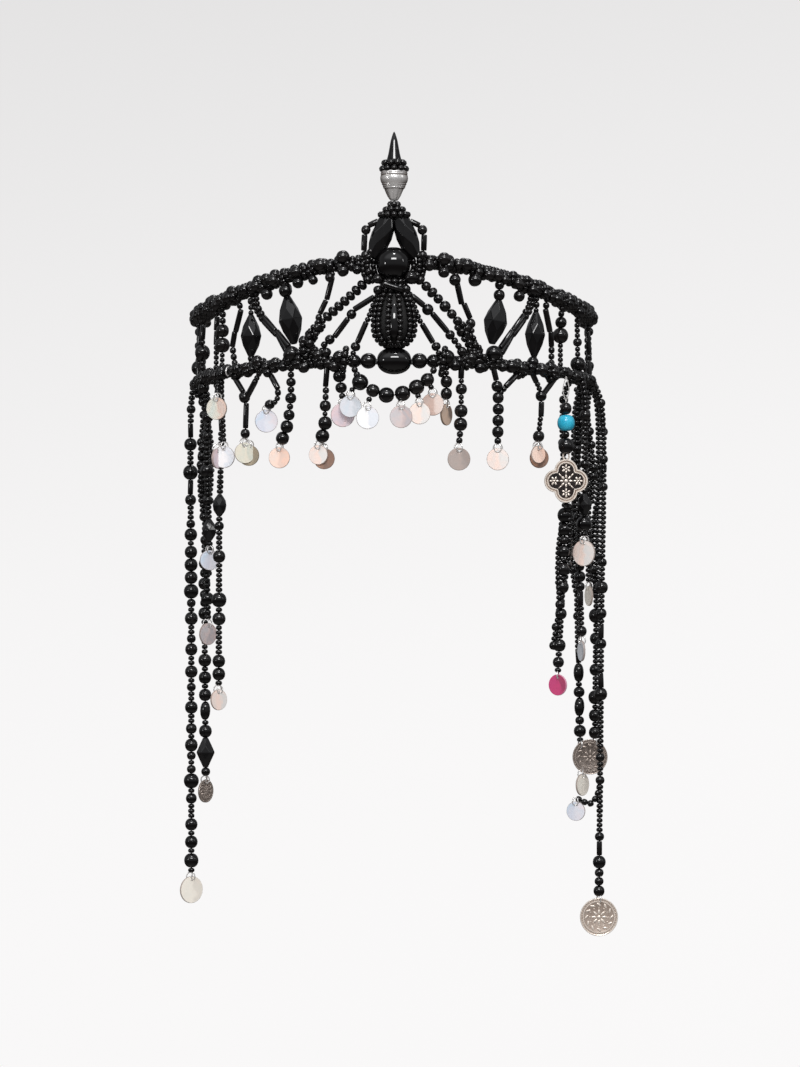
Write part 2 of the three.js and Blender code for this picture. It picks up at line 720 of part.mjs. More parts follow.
// The outermost strand on the right carries the large coin, and a branch with a shell disc.
const LARGE_COIN = { at: new Vector3(90, -4, -236.4), across: 16.7, turn: 0 };
const BRANCH = {
  points: [[90.6, -178], [88.6, -184], [86, -186.6], [83, -185.6]],
  disc: { at: new Vector3(79.9, -4, -189.9), across: 8.5, turn: -20 },
};

piece('large_coin', 'silver', (grow) => disc({ ...LARGE_COIN, grow, drilled: true }));

piece('strand_right_outer', 'jet', (grow) => {
  const centre = ringCentre(LARGE_COIN, RING.wire);
  const end = topOf(centre);
  const chart = '5s e 12s e 5s e 14s e s p s g s p s m s b m 3s p 2s b g 10s p s e 2s p e 10s e b m s '
    + 'p s p m';
  const { points, disc: shell } = BRANCH;
  const { x, y } = LARGE_COIN.at;
  const branch = points.map(([px, pz]) => new Vector3(px, y, pz));
  return join(
    strand(hangingRoute([x + 0.9, y], end), chart, { grow }),
    ring(centre, 0, grow),
    strand(route([...branch, ringTop(shell)]), '3s e s p', { grow }),
    hangDisc(shell, grow),
  );
});

// Two strands meet at the connector coin. A narrow leaf disc hangs below it.
const CONNECTOR = { at: new Vector3(87.2, 20, -167.4), across: 15.6, turn: 0 };
const LEAF = { at: new Vector3(83.8, 20, -179.8), across: 9.8, turn: 54, tie: new Vector3(0.6, 0, 2) };
const LINKS = [
  {
    name: 'strand_right_link_front',
    top: [81.5, 26],
    lug: [-4.4, 4.3],
    chart: '12s e 11s e 10s m 11s e 6s b l 2s m l e g p',
  },
  {
    name: 'strand_right_link_back',
    top: [90, 16],
    lug: [2.2, 5.7],
    chart: '10s p 9s e 10s p 8s e 4s x 4s x 4s g 5s g 3s x s g s g',
  },
];

piece('connector_coin', 'silver', (grow) => {
  const { at } = CONNECTOR;
  let coin = disc({ ...CONNECTOR, grow });
  for (const { lug: [x, z] } of LINKS) {
    coin = coin.subtract(drill().translate([at.x + x, at.y, at.z + z]));
  }
  const top = ringTop(LEAF);
  const foot = top.clone().add(LEAF.tie);
  return join(coin, hangDisc(LEAF, grow), strand(route([foot, top]), 's', { thread: THREAD, grow }));
});

for (const { name, top, lug: [x, z], chart } of LINKS) {
  const centre = CONNECTOR.at.clone().add(new Vector3(x, 0, z + RING.radius));
  const end = topOf(centre);
  piece(name, 'jet', (grow) => join(
    strand(hangingRoute(top, end), chart, { grow }),
    ring(centre, 0, grow),
  ));
}

// The charm drop: black beads and a turquoise on one thread, with the quatrefoil charm below.
const CHARM_DROP = { x: 73.4, y: -57, top: -1, upperBead: [-12.1, -17.4], lowerBeads: -24.4 };
const TURQUOISE = { z: -20.9, across: 7.5, bore: 0.95, half: 3.3 };
const CHARM = {
  z: -45.6,
  lobe: 4.9,
  reach: 4.4,
  thick: 1.4,
  rim: 2.2,
  rimWidth: 1.1,
  eye: 1.5,
  wire: 0.45,
  sunk: 0.3,
};

piece('turquoise_bead', 'turquoise', (grow) => {
  const { z, across, bore, half } = TURQUOISE;
  const outline = [[bore, -half], [2.2, -half], [3.4, -1.9], [across / 2, 0], [3.4, 1.9], [2.2, half],
    [bore, half], [bore, -half]];
  const rows = outline.map(([radius, height]) => new Vector2(radius > bore ? radius + grow : radius, height));
  const geometry = new THREE.LatheGeometry(rows, 12).rotateX(Math.PI / 2);
  return solid(geometry.translate(CHARM_DROP.x, CHARM_DROP.y, z));
});

// The quatrefoil's outline: four arcs that meet where neighbouring lobes cross.
function quatrefoil(lobe, reach) {
  const shape = new THREE.Shape();
  const meet = (3 * Math.PI) / 4 - Math.acos(reach / Math.SQRT2 / lobe);
  for (let i = 0; i < 4; i += 1) {
    const facing = (i * Math.PI) / 2;
    const [x, y] = [reach * Math.cos(facing), reach * Math.sin(facing)];
    shape.absarc(x, y, lobe, facing - meet, facing + meet, false);
  }
  return shape;
}

function plate(shape, thick) {
  const geometry = new THREE.ExtrudeGeometry(shape, { depth: thick, bevelEnabled: false, curveSegments: 3 });
  return solid(geometry.translate(0, 0, -thick / 2).rotateX(Math.PI / 2));
}

const charmTop = CHARM.z + CHARM.reach + CHARM.lobe;
const charmEye = new Vector3(CHARM_DROP.x, CHARM_DROP.y, charmTop + CHARM.eye - CHARM.sunk);

piece('quatrefoil_charm', 'silver', (grow) => {
  const { z, lobe, reach, thick, rim, rimWidth, eye, wire } = CHARM;
  const outer = plate(quatrefoil(lobe + grow, reach), rim + 2 * grow);
  const recess = plate(quatrefoil(lobe - rimWidth, reach), rim - thick).translate([0, -rim / 2, 0]);
  const face = grow > 0 ? outer : outer.subtract(recess);
  const hoop = new THREE.TorusGeometry(eye, wire + grow, 4, 9).rotateX(Math.PI / 2);
  return join(face.translate([CHARM_DROP.x, CHARM_DROP.y, z]), solid(hoop.translate(...charmEye)));
});

piece('charm_drop', 'jet', (grow) => {
  const { x, y, top, upperBead, lowerBeads } = CHARM_DROP;
  const lift = CHARM.eye - CHARM.wire - RING.wire - GAP + RING.radius;
  const loopCentre = charmEye.clone().add(new Vector3(0, 0, lift));
  const foot = loopCentre.z + RING.radius;
  const threaded = (from, to, chart) => (
    strand(route([new Vector3(x, y, from), new Vector3(x, y, to)]), chart, { thread: THREAD, grow })
  );
  return join(
    threaded(top, foot, '2s'),
    threaded(...upperBead, 'm'),
    threaded(lowerBeads, foot, 'p x'),
    ring(loopCentre, 0, grow),
  );
});

// Each piece is cut clear of the ones before it.
function near(a, b) {
  const [one, two] = [a.boundingBox(), b.boundingBox()];
  return [0, 1, 2].every((k) => one.min[k] < two.max[k] + GAP && two.min[k] < one.max[k] + GAP);
}

const headdress = new THREE.Group();
const done = [];

for (const { name, finish, build } of pieces) {
  let shape = build(0);
  for (const other of done) {
    if (near(shape, other.shape)) shape = shape.subtract(other.build(GAP));
  }
  done.push({ shape, build });

  const { vertProperties, triVerts } = shape.getMesh();
  const geometry = new THREE.BufferGeometry();
  geometry.setAttribute('position', new THREE.BufferAttribute(new Float32Array(vertProperties), 3));
  geometry.setIndex([...triVerts]);
  const mesh = new THREE.Mesh(geometry, new THREE.MeshStandardMaterial(FINISHES[finish]));
  mesh.name = name;
  headdress.add(mesh);
}

export default headdress;
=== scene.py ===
"""Looks of the beaded headdress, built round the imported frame.

The tables hold real sizes in millimetres in the frame's own axes: +Z up, the front towards -Y and +X to the
right seen from the front. A finished mesh is brought to metres when it becomes a piece.
"""
import json
import logging
import math
import random
from bisect import bisect_right
from dataclasses import dataclass, field
from enum import Enum
from functools import cache
from typing import Callable, Iterable, Sequence, Union

import bmesh
import bpy
import numpy as np
from mathutils import Matrix, Quaternion, Vector

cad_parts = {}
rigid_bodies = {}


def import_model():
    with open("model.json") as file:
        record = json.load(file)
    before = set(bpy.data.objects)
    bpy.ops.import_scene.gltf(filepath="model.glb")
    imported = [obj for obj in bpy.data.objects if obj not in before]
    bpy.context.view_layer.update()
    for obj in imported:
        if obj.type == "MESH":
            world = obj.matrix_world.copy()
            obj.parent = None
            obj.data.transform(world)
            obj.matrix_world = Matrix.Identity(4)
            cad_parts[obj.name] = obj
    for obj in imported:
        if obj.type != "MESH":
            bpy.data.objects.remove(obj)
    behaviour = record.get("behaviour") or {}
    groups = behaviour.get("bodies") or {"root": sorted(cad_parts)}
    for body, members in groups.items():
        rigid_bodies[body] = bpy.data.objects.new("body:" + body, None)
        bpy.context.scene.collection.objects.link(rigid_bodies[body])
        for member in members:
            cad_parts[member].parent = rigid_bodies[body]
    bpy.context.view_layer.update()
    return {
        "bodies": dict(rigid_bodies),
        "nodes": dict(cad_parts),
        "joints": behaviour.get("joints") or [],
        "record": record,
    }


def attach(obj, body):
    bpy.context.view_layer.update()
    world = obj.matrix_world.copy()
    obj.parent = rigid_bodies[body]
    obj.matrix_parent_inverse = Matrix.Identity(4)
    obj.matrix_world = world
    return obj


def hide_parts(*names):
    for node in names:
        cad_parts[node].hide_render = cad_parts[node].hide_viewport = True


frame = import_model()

MM = 0.001
BODY = "root"
UP = Vector((0, 0, 1))
FRONT = Vector((0, -1, 0))
STEEP = 0.9
log = logging.getLogger("headdress")

Colour = tuple[float, float, float, float]
Pair = tuple[float, float]


def rgb(red: int, green: int, blue: int) -> Colour:
    """A colour as seen on screen, 0 to 255 a channel, as the linear colour that the shaders use."""
    linear = [(part / 255 + 0.055) ** 2.4 / 1.055 ** 2.4 for part in (red, green, blue)]
    return linear[0], linear[1], linear[2], 1.0


class Value:
    """A socket of a finish. Python sums written on it become Math nodes."""

    def __init__(self, recipe: "Recipe", socket: bpy.types.NodeSocket) -> None:
        """Keeps the socket and the recipe that it belongs to."""
        self.recipe = recipe
        self.socket = socket

    def _sum(self, operation: str, first: "Amount", second: "Amount") -> "Value":
        """One Math node on two amounts."""
        return self.recipe.node("ShaderNodeMath", {"operation": operation}, {0: first, 1: second})

    def __add__(self, other: "Amount") -> "Value":
        """self + other."""
        return self._sum("ADD", self, other)

    def __radd__(self, other: "Amount") -> "Value":
        """other + self."""
        return self._sum("ADD", other, self)

    def __sub__(self, other: "Amount") -> "Value":
        """self - other."""
        return self._sum("SUBTRACT", self, other)

    def __rsub__(self, other: "Amount") -> "Value":
        """other - self."""
        return self._sum("SUBTRACT", other, self)

    def __mul__(self, other: "Amount") -> "Value":
        """self * other."""
        return self._sum("MULTIPLY", self, other)

    def __rmul__(self, other: "Amount") -> "Value":
        """other * self."""
        return self._sum("MULTIPLY", other, self)

    def between(self, low: float, high: float) -> "Value":
        """A soft step from 0 at low to 1 at high.

        Args:
            low: where the step starts.
            high: where it ends.

        Returns:
            The step's value.
        """
        return self.recipe.node(
            "ShaderNodeMapRange", {"interpolation_type": "SMOOTHSTEP"}, {0: self, 1: low, 2: high}
        )


Amount = Union[Value, float, Colour, Vector, tuple]


class Recipe:
    """The node tree of one finish."""

    def __init__(self, name: str) -> None:
        """Starts an empty material.

        Args:
            name: the material's name.
        """
        self.material = bpy.data.materials.new(name)
        self.material.use_nodes = True
        self.tree = self.material.node_tree
        self.tree.nodes.clear()

    def node(self, kind: str, settings: dict | None = None, sockets: dict | None = None,
             output: int | str = 0) -> Value:
        """Adds any node.

        Args:
            kind: the node's type.
            settings: properties that are set first.
            sockets: values or links of its inputs, by name or number.
            output: the output that is handed back.

        Returns:
            The chosen output.
        """
        made = self.tree.nodes.new(kind)
        for name, value in (settings or {}).items():
            setattr(made, name, value)
        for key, value in (sockets or {}).items():
            if isinstance(value, Value):
                self.tree.links.new(value.socket, made.inputs[key])
            else:
                made.inputs[key].default_value = value
        return Value(self, made.outputs[output])

    def attribute(self, name: str, output: str = "Fac") -> Value:
        """A mesh attribute of the piece."""
        return self.node("ShaderNodeAttribute", {"attribute_name": name}, output=output)

    def place(self) -> Value:
        """The point on the piece, in metres."""
        return self.node("ShaderNodeTexCoord", output="Object")

    def axes(self, vector: Value, letters: str) -> list[Value]:
        """Some of the axes of a vector, by their letters."""
        return [self.node("ShaderNodeSeparateXYZ", None, {0: vector}, letter) for letter in letters]

    def noise(self, size: float, detail: float = 2.0) -> Value:
        """Cloudy noise from 0 to 1 over the piece.

        Args:
            size: width of one cloud in millimetres.
            detail: how many finer layers lie on it.

        Returns:
            The noise's value.
        """
        sockets = {"Vector": self.place(), "Scale": 1 / (size * MM), "Detail": detail}
        return self.node("ShaderNodeTexNoise", None, sockets)

    def mix(self, share: Amount, first: Amount, second: Amount) -> Value:
        """A colour between two others."""
        return self.node("ShaderNodeMix", {"data_type": "RGBA"}, {0: share, 6: first, 7: second}, 2)

    def bump(self, height: Value, depth: float, strength: float = 1.0) -> Value:
        """A surface normal from a height.

        Args:
            height: from 0 to 1.
            depth: the real height of 1, in millimetres.
            strength: how strongly it shows.

        Returns:
            The normal.
        """
        return self.node("ShaderNodeBump", None, {"Height": height, "Distance": depth * MM,
                                                  "Strength": strength})

    def surface(self, sockets: dict) -> bpy.types.Material:
        """Ends the recipe with the glossy surface shader.

        Args:
            sockets: the shader's inputs by name.

        Returns:
            The finished material.
        """
        self.end(self.node("ShaderNodeBsdfPrincipled", None, sockets))
        return self.material

    def end(self, shader: Value, kind: str = "ShaderNodeOutputMaterial") -> None:
        """Links a shader to the output."""
        last = self.tree.nodes.new(kind)
        self.tree.links.new(shader.socket, last.inputs["Surface"])


class Surroundings(Recipe):
    """The node tree of the light that comes from all round."""

    def __init__(self, name: str) -> None:
        """Starts empty surroundings for the scene.

        Args:
            name: the world's name.
        """
        world = bpy.data.worlds.new(name)
        world.use_nodes = True
        self.tree = world.node_tree
        self.tree.nodes.clear()
        bpy.context.scene.world = world

    def direction(self) -> Value:
        """The direction looked in."""
        return self.node("ShaderNodeTexCoord", output="Generated")

    def shine(self, colour: Value, strength: Value) -> None:
        """Gives the surroundings their colour and strength."""
        self.end(self.node("ShaderNodeBackground", None, {"Color": colour, "Strength": strength}),
                 "ShaderNodeOutputWorld")


@dataclass(frozen=True)
class Glass:
    """Black pressed glass: deep, with faint clouds, a polish that differs from bead to bead.

    deep and worn are its colours, cloud_size is in millimetres, spread is how much the roughness differs from
    bead to bead and haze how much it differs over one bead, and ripple is the clouds' height in millimetres.
    """

    name: str
    deep: Colour = rgb(9, 8, 9)
    worn: Colour = rgb(22, 20, 20)
    roughness: float = 0.03
    spread: float = 0.07
    haze: float = 0.03
    ripple: float = 0.006
    cloud_size: float = 3.5
    tone_share: float = 0.5
    cloud_share: float = 0.6
    worn_from: float = 0.25
    worn_to: float = 0.95
    index: float = 1.56

    def make(self) -> bpy.types.Material:
        """Builds the material.

        Returns:
            The material.
        """
        recipe = Recipe(self.name)
        tone = recipe.attribute("tone")
        cloud = recipe.noise(self.cloud_size, 2)
        share = (tone * self.tone_share + cloud * self.cloud_share).between(self.worn_from, self.worn_to)
        return recipe.surface({
            "Base Color": recipe.mix(share, self.deep, self.worn),
            "Roughness": tone * self.spread + cloud * self.haze + self.roughness,
            "Normal": recipe.bump(cloud, self.ripple, 0.5),
            "IOR": self.index,
        })


@dataclass(frozen=True)
class Metal:
    """Cast or turned metal: bright where it is rubbed, dark where dirt and tarnish stay; on the cup, bright
    where a highlight is painted and dark where shade is painted.

    stain is how much the clouds decide what stays dark, oxide takes away from the metallic shine, and
    dirt_rough is how much duller the dark places are. The clouds and the grain are in millimetres.
    """

    name: str
    bright: Colour
    dark: Colour
    roughness: float = 0.25
    stain: float = 0.3
    oxide: float = 0.0
    cloud_size: float = 1.6
    grain_size: float = 0.4
    grain_rough: float = 0.08
    dirt_rough: float = 0.2
    rubbed_from: float = 0.15
    rubbed_to: float = 0.7
    relief: float = 0.002

    def make(self) -> bpy.types.Material:
        """Builds the material.

        Returns:
            The material.
        """
        recipe = Recipe(self.name)
        # The tone is the raised relief of the coins and the charm, a fixed tone on the rings, and on the cup
        # a painted highlight and painted shade.
        raised = recipe.attribute("tone")
        cloud = recipe.noise(self.cloud_size, 3)
        grain = recipe.noise(self.grain_size, 2)
        mixed = raised * (1 - self.stain) + cloud * self.stain
        bright_share = mixed.between(self.rubbed_from, self.rubbed_to)
        return recipe.surface({
            "Base Color": recipe.mix(bright_share, self.dark, self.bright),
            "Metallic": bright_share * (1 - self.oxide) * 0.5 + (1 - self.oxide) * 0.5,
            "Roughness": (1 - bright_share) * self.dirt_rough + grain * self.grain_rough + self.roughness,
            "Normal": recipe.bump(cloud, self.relief, 0.3),
        })


@dataclass(frozen=True)
class Pearl:
    """Mother-of-pearl: two tints that part along a line from the hole, clouds of faint colour, a painted
    lustre, a darker rim, and painted light given off in its own colour.

    turn is the parting line's angle off the upright in degrees, soft is the width of the parting, flash is
    the share of the painted lustre's two colours, glow is how strongly the disc gives off its own colour
    as painted light, sway is how far the clouds bend the parting, and bands is the number of lustre bands in
    a radian.
    """

    name: str
    first: Colour
    second: Colour
    turn: float = 0.0
    soft: float = 0.3
    rim: Colour = rgb(148, 132, 124)
    flash: float = 0.22
    glow: float = 0.12
    cold: Colour = rgb(206, 220, 228)
    warm: Colour = rgb(250, 222, 214)
    cloud_size: float = 4.0
    sway: float = 1.2
    bands: float = 6.0
    band_sway: float = 4.0
    rim_share: float = 0.8
    roughness: float = 0.34
    haze: float = 0.12
    index: float = 1.5

    def make(self) -> bpy.types.Material:
        """Builds the material.

        Returns:
            The material.
        """
        recipe = Recipe(self.name)
        x, z = recipe.axes(recipe.attribute("local", "Vector"), "XZ")
        cloud = recipe.noise(self.cloud_size, 2)
        fan = recipe.node("ShaderNodeMath", {"operation": "ARCTAN2"}, {0: x, 1: 1.0 - z})
        slope = fan - math.radians(self.turn) + (cloud - 0.5) * self.sway
        tint = recipe.mix(slope.between(-0.05, self.soft), self.first, self.second)
        # Painted sheen: the lustre's cold and warm bands are laid into the base colour.
        phase = slope * self.bands + cloud * self.band_sway
        wave = recipe.node("ShaderNodeMath", {"operation": "SINE"}, {0: phase})
        lustre = recipe.mix(wave * 0.5 + 0.5, self.cold, self.warm)
        body = recipe.mix(self.flash, tint, lustre)
        edge = recipe.attribute("tone")
        colour = recipe.mix(edge * self.rim_share, body, self.rim)
        return recipe.surface({
            "Base Color": colour,
            "Roughness": cloud * self.haze + self.roughness,
            # Painted light: the disc gives off its own colour, though it is no lamp.
            "Emission Color": colour,
            "Emission Strength": self.glow,
            "IOR": self.index,
        })


@dataclass(frozen=True)
class Stone:
    """A polished coloured stone or enamel with soft veins. The sizes are in millimetres."""

    name: str
    first: Colour
    second: Colour
    vein: Colour
    roughness: float = 0.16
    haze: float = 0.06
    cloud_size: float = 2.2
    vein_size: float = 0.8
    vein_share: float = 0.12
    polish: float = 0.3
    ripple: float = 0.01

    def make(self) -> bpy.types.Material:
        """Builds the material.

        Returns:
            The material.
        """
        recipe = Recipe(self.name)
        cloud = recipe.noise(self.cloud_size, 3)
        fine = recipe.noise(self.vein_size, 4)
        body = recipe.mix(cloud.between(0.35, 0.65), self.first, self.second)
        return recipe.surface({
            "Base Color": recipe.mix(fine.between(0.66, 0.74) * self.vein_share, body, self.vein),
            "Roughness": fine * self.haze + self.roughness,
            "Coat Weight": self.polish,
            "Normal": recipe.bump(cloud, self.ripple, 0.3),
        })


@dataclass(frozen=True)
class Yarn:
    """Thread: dull, with the faint twist of its plies. The plies' size and height are in millimetres."""

    name: str
    dark: Colour
    light: Colour
    roughness: float = 0.6
    haze: float = 0.15
    ply_size: float = 0.3
    ply_height: float = 0.04

    def make(self) -> bpy.types.Material:
        """Builds the material.

        Returns:
            The material.
        """
        recipe = Recipe(self.name)
        ply = recipe.noise(self.ply_size, 2)
        return recipe.surface({
            "Base Color": recipe.mix(ply, self.dark, self.light),
            "Roughness": ply * self.haze + self.roughness,
            "Normal": recipe.bump(ply, self.ply_height, 0.6),
        })


class Tint(Enum):
    """The colours of the shell discs."""

    WHITE = Pearl("pearl_white", rgb(240, 240, 241), rgb(222, 224, 230), flash=0.1)
    BLUE_GREY = Pearl("pearl_blue_grey", rgb(206, 211, 218), rgb(188, 192, 198), turn=12, flash=0.1)
    SKY = Pearl("pearl_sky", rgb(196, 208, 224), rgb(222, 220, 228), turn=-10)
    PEACH = Pearl("pearl_peach", rgb(242, 212, 194), rgb(232, 192, 170), turn=-8)
    PEACH_WHITE = Pearl("pearl_peach_white", rgb(240, 218, 206), rgb(228, 220, 214), turn=2)
    LILAC = Pearl("pearl_lilac", rgb(206, 184, 192), rgb(190, 172, 180), turn=10)
    GREY_PINK = Pearl("pearl_grey_pink", rgb(192, 180, 180), rgb(170, 154, 154), turn=-6)
    TAUPE = Pearl("pearl_taupe", rgb(164, 150, 143), rgb(148, 134, 127), turn=4, soft=0.6, flash=0.05)
    ROSE_TAUPE = Pearl("pearl_rose_taupe", rgb(184, 158, 146), rgb(218, 198, 188), turn=-4, flash=0.1)
    BROWN = Pearl("pearl_brown", rgb(176, 134, 108), rgb(122, 88, 68), turn=-20, rim=rgb(92, 64, 48),
                  flash=0.08)
    HAZEL = Pearl("pearl_hazel", rgb(196, 170, 150), rgb(112, 92, 78), soft=0.6, rim=rgb(92, 76, 64),
                  flash=0.08)
    CREAM = Pearl("pearl_cream", rgb(216, 212, 194), rgb(202, 202, 186), turn=6, flash=0.12)
    OLIVE = Pearl("pearl_olive", rgb(160, 149, 126), rgb(140, 128, 106), rim=rgb(112, 94, 70), flash=0.05)
    PALE = Pearl("pearl_pale", rgb(250, 244, 232), rgb(236, 228, 216), turn=8, flash=0.06)
    OPAL = Pearl("pearl_opal", rgb(204, 206, 192), rgb(206, 176, 158), turn=4, soft=0.15,
                 rim=rgb(128, 118, 110))


class Form(Enum):
    """The shapes of beads."""

    SEED = "seed"
    ROUND = "round"
    BUGLE = "bugle"
    CUT = "cut"


@dataclass(frozen=True)
class Sort:
    """One sort of bead: its shape, length along the thread and width, in millimetres."""

    form: Form
    long: float
    across: float


SORTS = {
    "s": Sort(Form.SEED, 2.0, 2.4),
    "r": Sort(Form.SEED, 2.1, 3.0),
    "q": Sort(Form.SEED, 2.2, 2.5),
    "p": Sort(Form.SEED, 2.7, 2.9),
    "c": Sort(Form.BUGLE, 4.4, 2.5),
    "b": Sort(Form.BUGLE, 6.5, 2.5),
    "B": Sort(Form.BUGLE, 10.0, 2.5),
    "k": Sort(Form.ROUND, 3.4, 4.6),
    "e": Sort(Form.ROUND, 3.8, 4.1),
    "m": Sort(Form.ROUND, 4.7, 4.9),
    "g": Sort(Form.ROUND, 5.6, 5.7),
    "x": Sort(Form.ROUND, 6.5, 6.6),
    "l": Sort(Form.ROUND, 8.4, 4.6),
    "f": Sort(Form.CUT, 9.8, 6.8),
    "F": Sort(Form.CUT, 13.3, 8.2),
}
FULLNESS = {Form.SEED: 2.2, Form.ROUND: 2.05, Form.BUGLE: 9.0}
BORE = 0.3


def chart(text: str) -> list[Sort]:
    """Reads a stringing chart such as '3s b g'.

    Args:
        text: words of a count, where a bead repeats, and its letter.

    Returns:
        The sorts of its beads in order.
    """
    return [SORTS[word[-1]] for word in text.split() for _ in range(int(word[:-1] or 1))]


def strand_chart(text: str) -> list[Sort]:
    """Reads the chart of a long strand, where wide seed beads stand for the slim and the long ones."""
    return [SORTS["r"] if sort in (SORTS["s"], SORTS["p"]) else sort for sort in chart(text)]


WELD = 1e-4


def keep_form(body: bmesh.types.BMesh, name: str, smooth: bool, tone: float = 0.5,
              reach: float = 1.0) -> bpy.types.Mesh:
    """Ends the making of a form: outward normals, its attributes and its shading.

    Args:
        body: the form's bmesh, which is freed.
        name: the form's name.
        smooth: whether its faces are shaded round.
        tone: the value of its tone attribute.
        reach: what counts as 1 in its local attribute.

    Returns:
        The form as a mesh in millimetres.
    """
    bmesh.ops.remove_doubles(body, verts=body.verts, dist=WELD)
    bmesh.ops.recalc_face_normals(body, faces=body.faces)
    for face in body.faces:
        face.smooth = smooth
    mesh = bpy.data.meshes.new(name)
    body.to_mesh(mesh)
    body.free()
    mesh.attributes.new("tone", "FLOAT", "POINT")
    shade(mesh, lambda corner: tone)
    local = [part / reach for corner in mesh.vertices for part in corner.co]
    mesh.attributes.new("local", "FLOAT_VECTOR", "POINT").data.foreach_set("vector", local)
    return mesh


def shade(form: bpy.types.Mesh, tone: Callable[[Vector], float]) -> None:
    """Gives each corner of a form its tone, worked out from its place."""
    form.attributes["tone"].data.foreach_set("value", [tone(point.co) for point in form.vertices])


def turned(outline: Sequence[Pair], sides: int, hollow: bool = False) -> bmesh.types.BMesh:
    """Turns an outline round the Z axis.

    Args:
        outline: rows of radius and height; it ends on the axis, unless it is hollow.
        sides: how many steps go round.
        hollow: whether the outline closes on itself, as round a bore.

    Returns:
        The turned body.
    """
    body = bmesh.new()
    corners = [body.verts.new((radius, 0, height)) for radius, height in outline]
    following = corners[1:] + corners[:1] if hollow else corners[1:]
    for one, other in zip(corners, following):
        body.edges.new((one, other))
    bmesh.ops.spin(body, geom=body.verts[:] + body.edges[:], cent=(0, 0, 0), axis=(0, 0, 1),
                   dvec=(0, 0, 0), angle=math.tau, steps=sides, use_merge=True)
    return body


def rounded(long: float, across: float, fullness: float, steps: int, bore: float) -> list[Pair]:
    """The outline of a bead from one end of its bore to the other.

    Args:
        long: length along the bore.
        across: width.
        fullness: 2 is an ellipse, more is nearer to a tube.
        steps: how many edges it has.
        bore: the bore's radius.

    Returns:
        Rows of radius and height.
    """
    rows = []
    for step in range(steps + 1):
        angle = math.pi * (step / steps - 0.5)
        side = abs(math.cos(angle)) ** (2 / fullness)
        rise = math.copysign(abs(math.sin(angle)) ** (2 / fullness), math.sin(angle))
        rows.append((bore + (across / 2 - bore) * side, rise * long / 2))
    return rows


CUT_SHOULDER = 0.46
CUT_TIP = 0.26


def cut_body(long: float, across: float, tip: float = CUT_TIP, edge: float = 0.14,
             sides: int = 6) -> bmesh.types.BMesh:
    """A long bead ground with lozenge facets above and below its widest place.

    Args:
        long: length.
        across: width.
        tip: share of the width that its blunt ends keep.
        edge: width of the softened edges.
        sides: facets round the middle.

    Returns:
        The bead's body.
    """
    body = bmesh.new()
    shoulder = (1 - (1 - tip) * CUT_SHOULDER) / math.cos(math.pi / sides)
    rings = ((-1.0, tip, 0.0), (-CUT_SHOULDER, shoulder, 0.5), (0.0, 1.0, 0.0),
             (CUT_SHOULDER, shoulder, 0.5), (1.0, tip, 0.0))
    for height, width, shift in rings:
        lift = Matrix.Translation((0, 0, height * long / 2))
        matrix = lift @ Matrix.Rotation(math.tau * shift / sides, 4, "Z")
        bmesh.ops.create_circle(body, segments=sides, radius=width * across / 2, matrix=matrix)
    hull = bmesh.ops.convex_hull(body, input=body.verts)
    bmesh.ops.delete(body, geom=hull["geom_interior"] + hull["geom_unused"], context="VERTS")
    bmesh.ops.dissolve_limit(body, angle_limit=math.radians(2), verts=body.verts, edges=body.edges)
    bmesh.ops.bevel(body, geom=body.edges[:], offset=edge, segments=1, profile=0.5, affect="EDGES",
                    material=-1)
    return body


SMALL = 3.5
MIDDLING = 6.0
BUGLE_SIDES = 10


@cache
def bead_form(sort: Sort) -> bpy.types.Mesh:
    """The mesh of one sort of bead, with no more faces than its size needs.

    Args:
        sort: which bead.

    Returns:
        The bead, standing on its thread along Z.
    """
    if sort.form is Form.CUT:
        return keep_form(cut_body(sort.long, sort.across), "cut_bead", smooth=False)
    sides, steps = (8, 6) if sort.across < SMALL else (12, 8) if sort.across < MIDDLING else (16, 10)
    if sort.form is Form.BUGLE:
        sides = BUGLE_SIDES
    outline = rounded(sort.long, sort.across, FULLNESS[sort.form], steps, BORE)
    return keep_form(turned(outline, sides, hollow=True), f"{sort.form.value}_bead", smooth=True)


@cache
def ring_form(radius: float, wire: float) -> bpy.types.Mesh:
    """A jump ring round the Z axis.

    Args:
        radius: from its middle to the middle of its wire.
        wire: the wire's radius.

    Returns:
        The ring.
    """
    turns = [math.tau * step / 8 for step in range(8)]
    outline = [(radius + wire * math.cos(turn), wire * math.sin(turn)) for turn in turns]
    return keep_form(turned(outline, 20, hollow=True), "jump_ring", smooth=True, tone=0.8)


@cache
def dome_form() -> bpy.types.Mesh:
    """A small raised dome for relief.

    Returns:
        The dome of radius 1, rising along Z.
    """
    body = bmesh.new()
    bmesh.ops.create_uvsphere(body, u_segments=12, v_segments=8, radius=1)
    return keep_form(body, "dome", smooth=True)


def thicken(body: bmesh.types.BMesh, faces: list[bmesh.types.BMFace], thick: float) -> None:
    """Makes a closed plate of a flat sheet.

    Args:
        body: the bmesh.
        faces: the sheet's faces at z = 0.
        thick: how far they rise along Z.
    """
    raised = bmesh.ops.extrude_face_region(body, geom=faces)
    moved = [part for part in raised["geom"] if isinstance(part, bmesh.types.BMVert)]
    bmesh.ops.translate(body, vec=(0, 0, thick), verts=moved)
    bmesh.ops.recalc_face_normals(body, faces=body.faces)


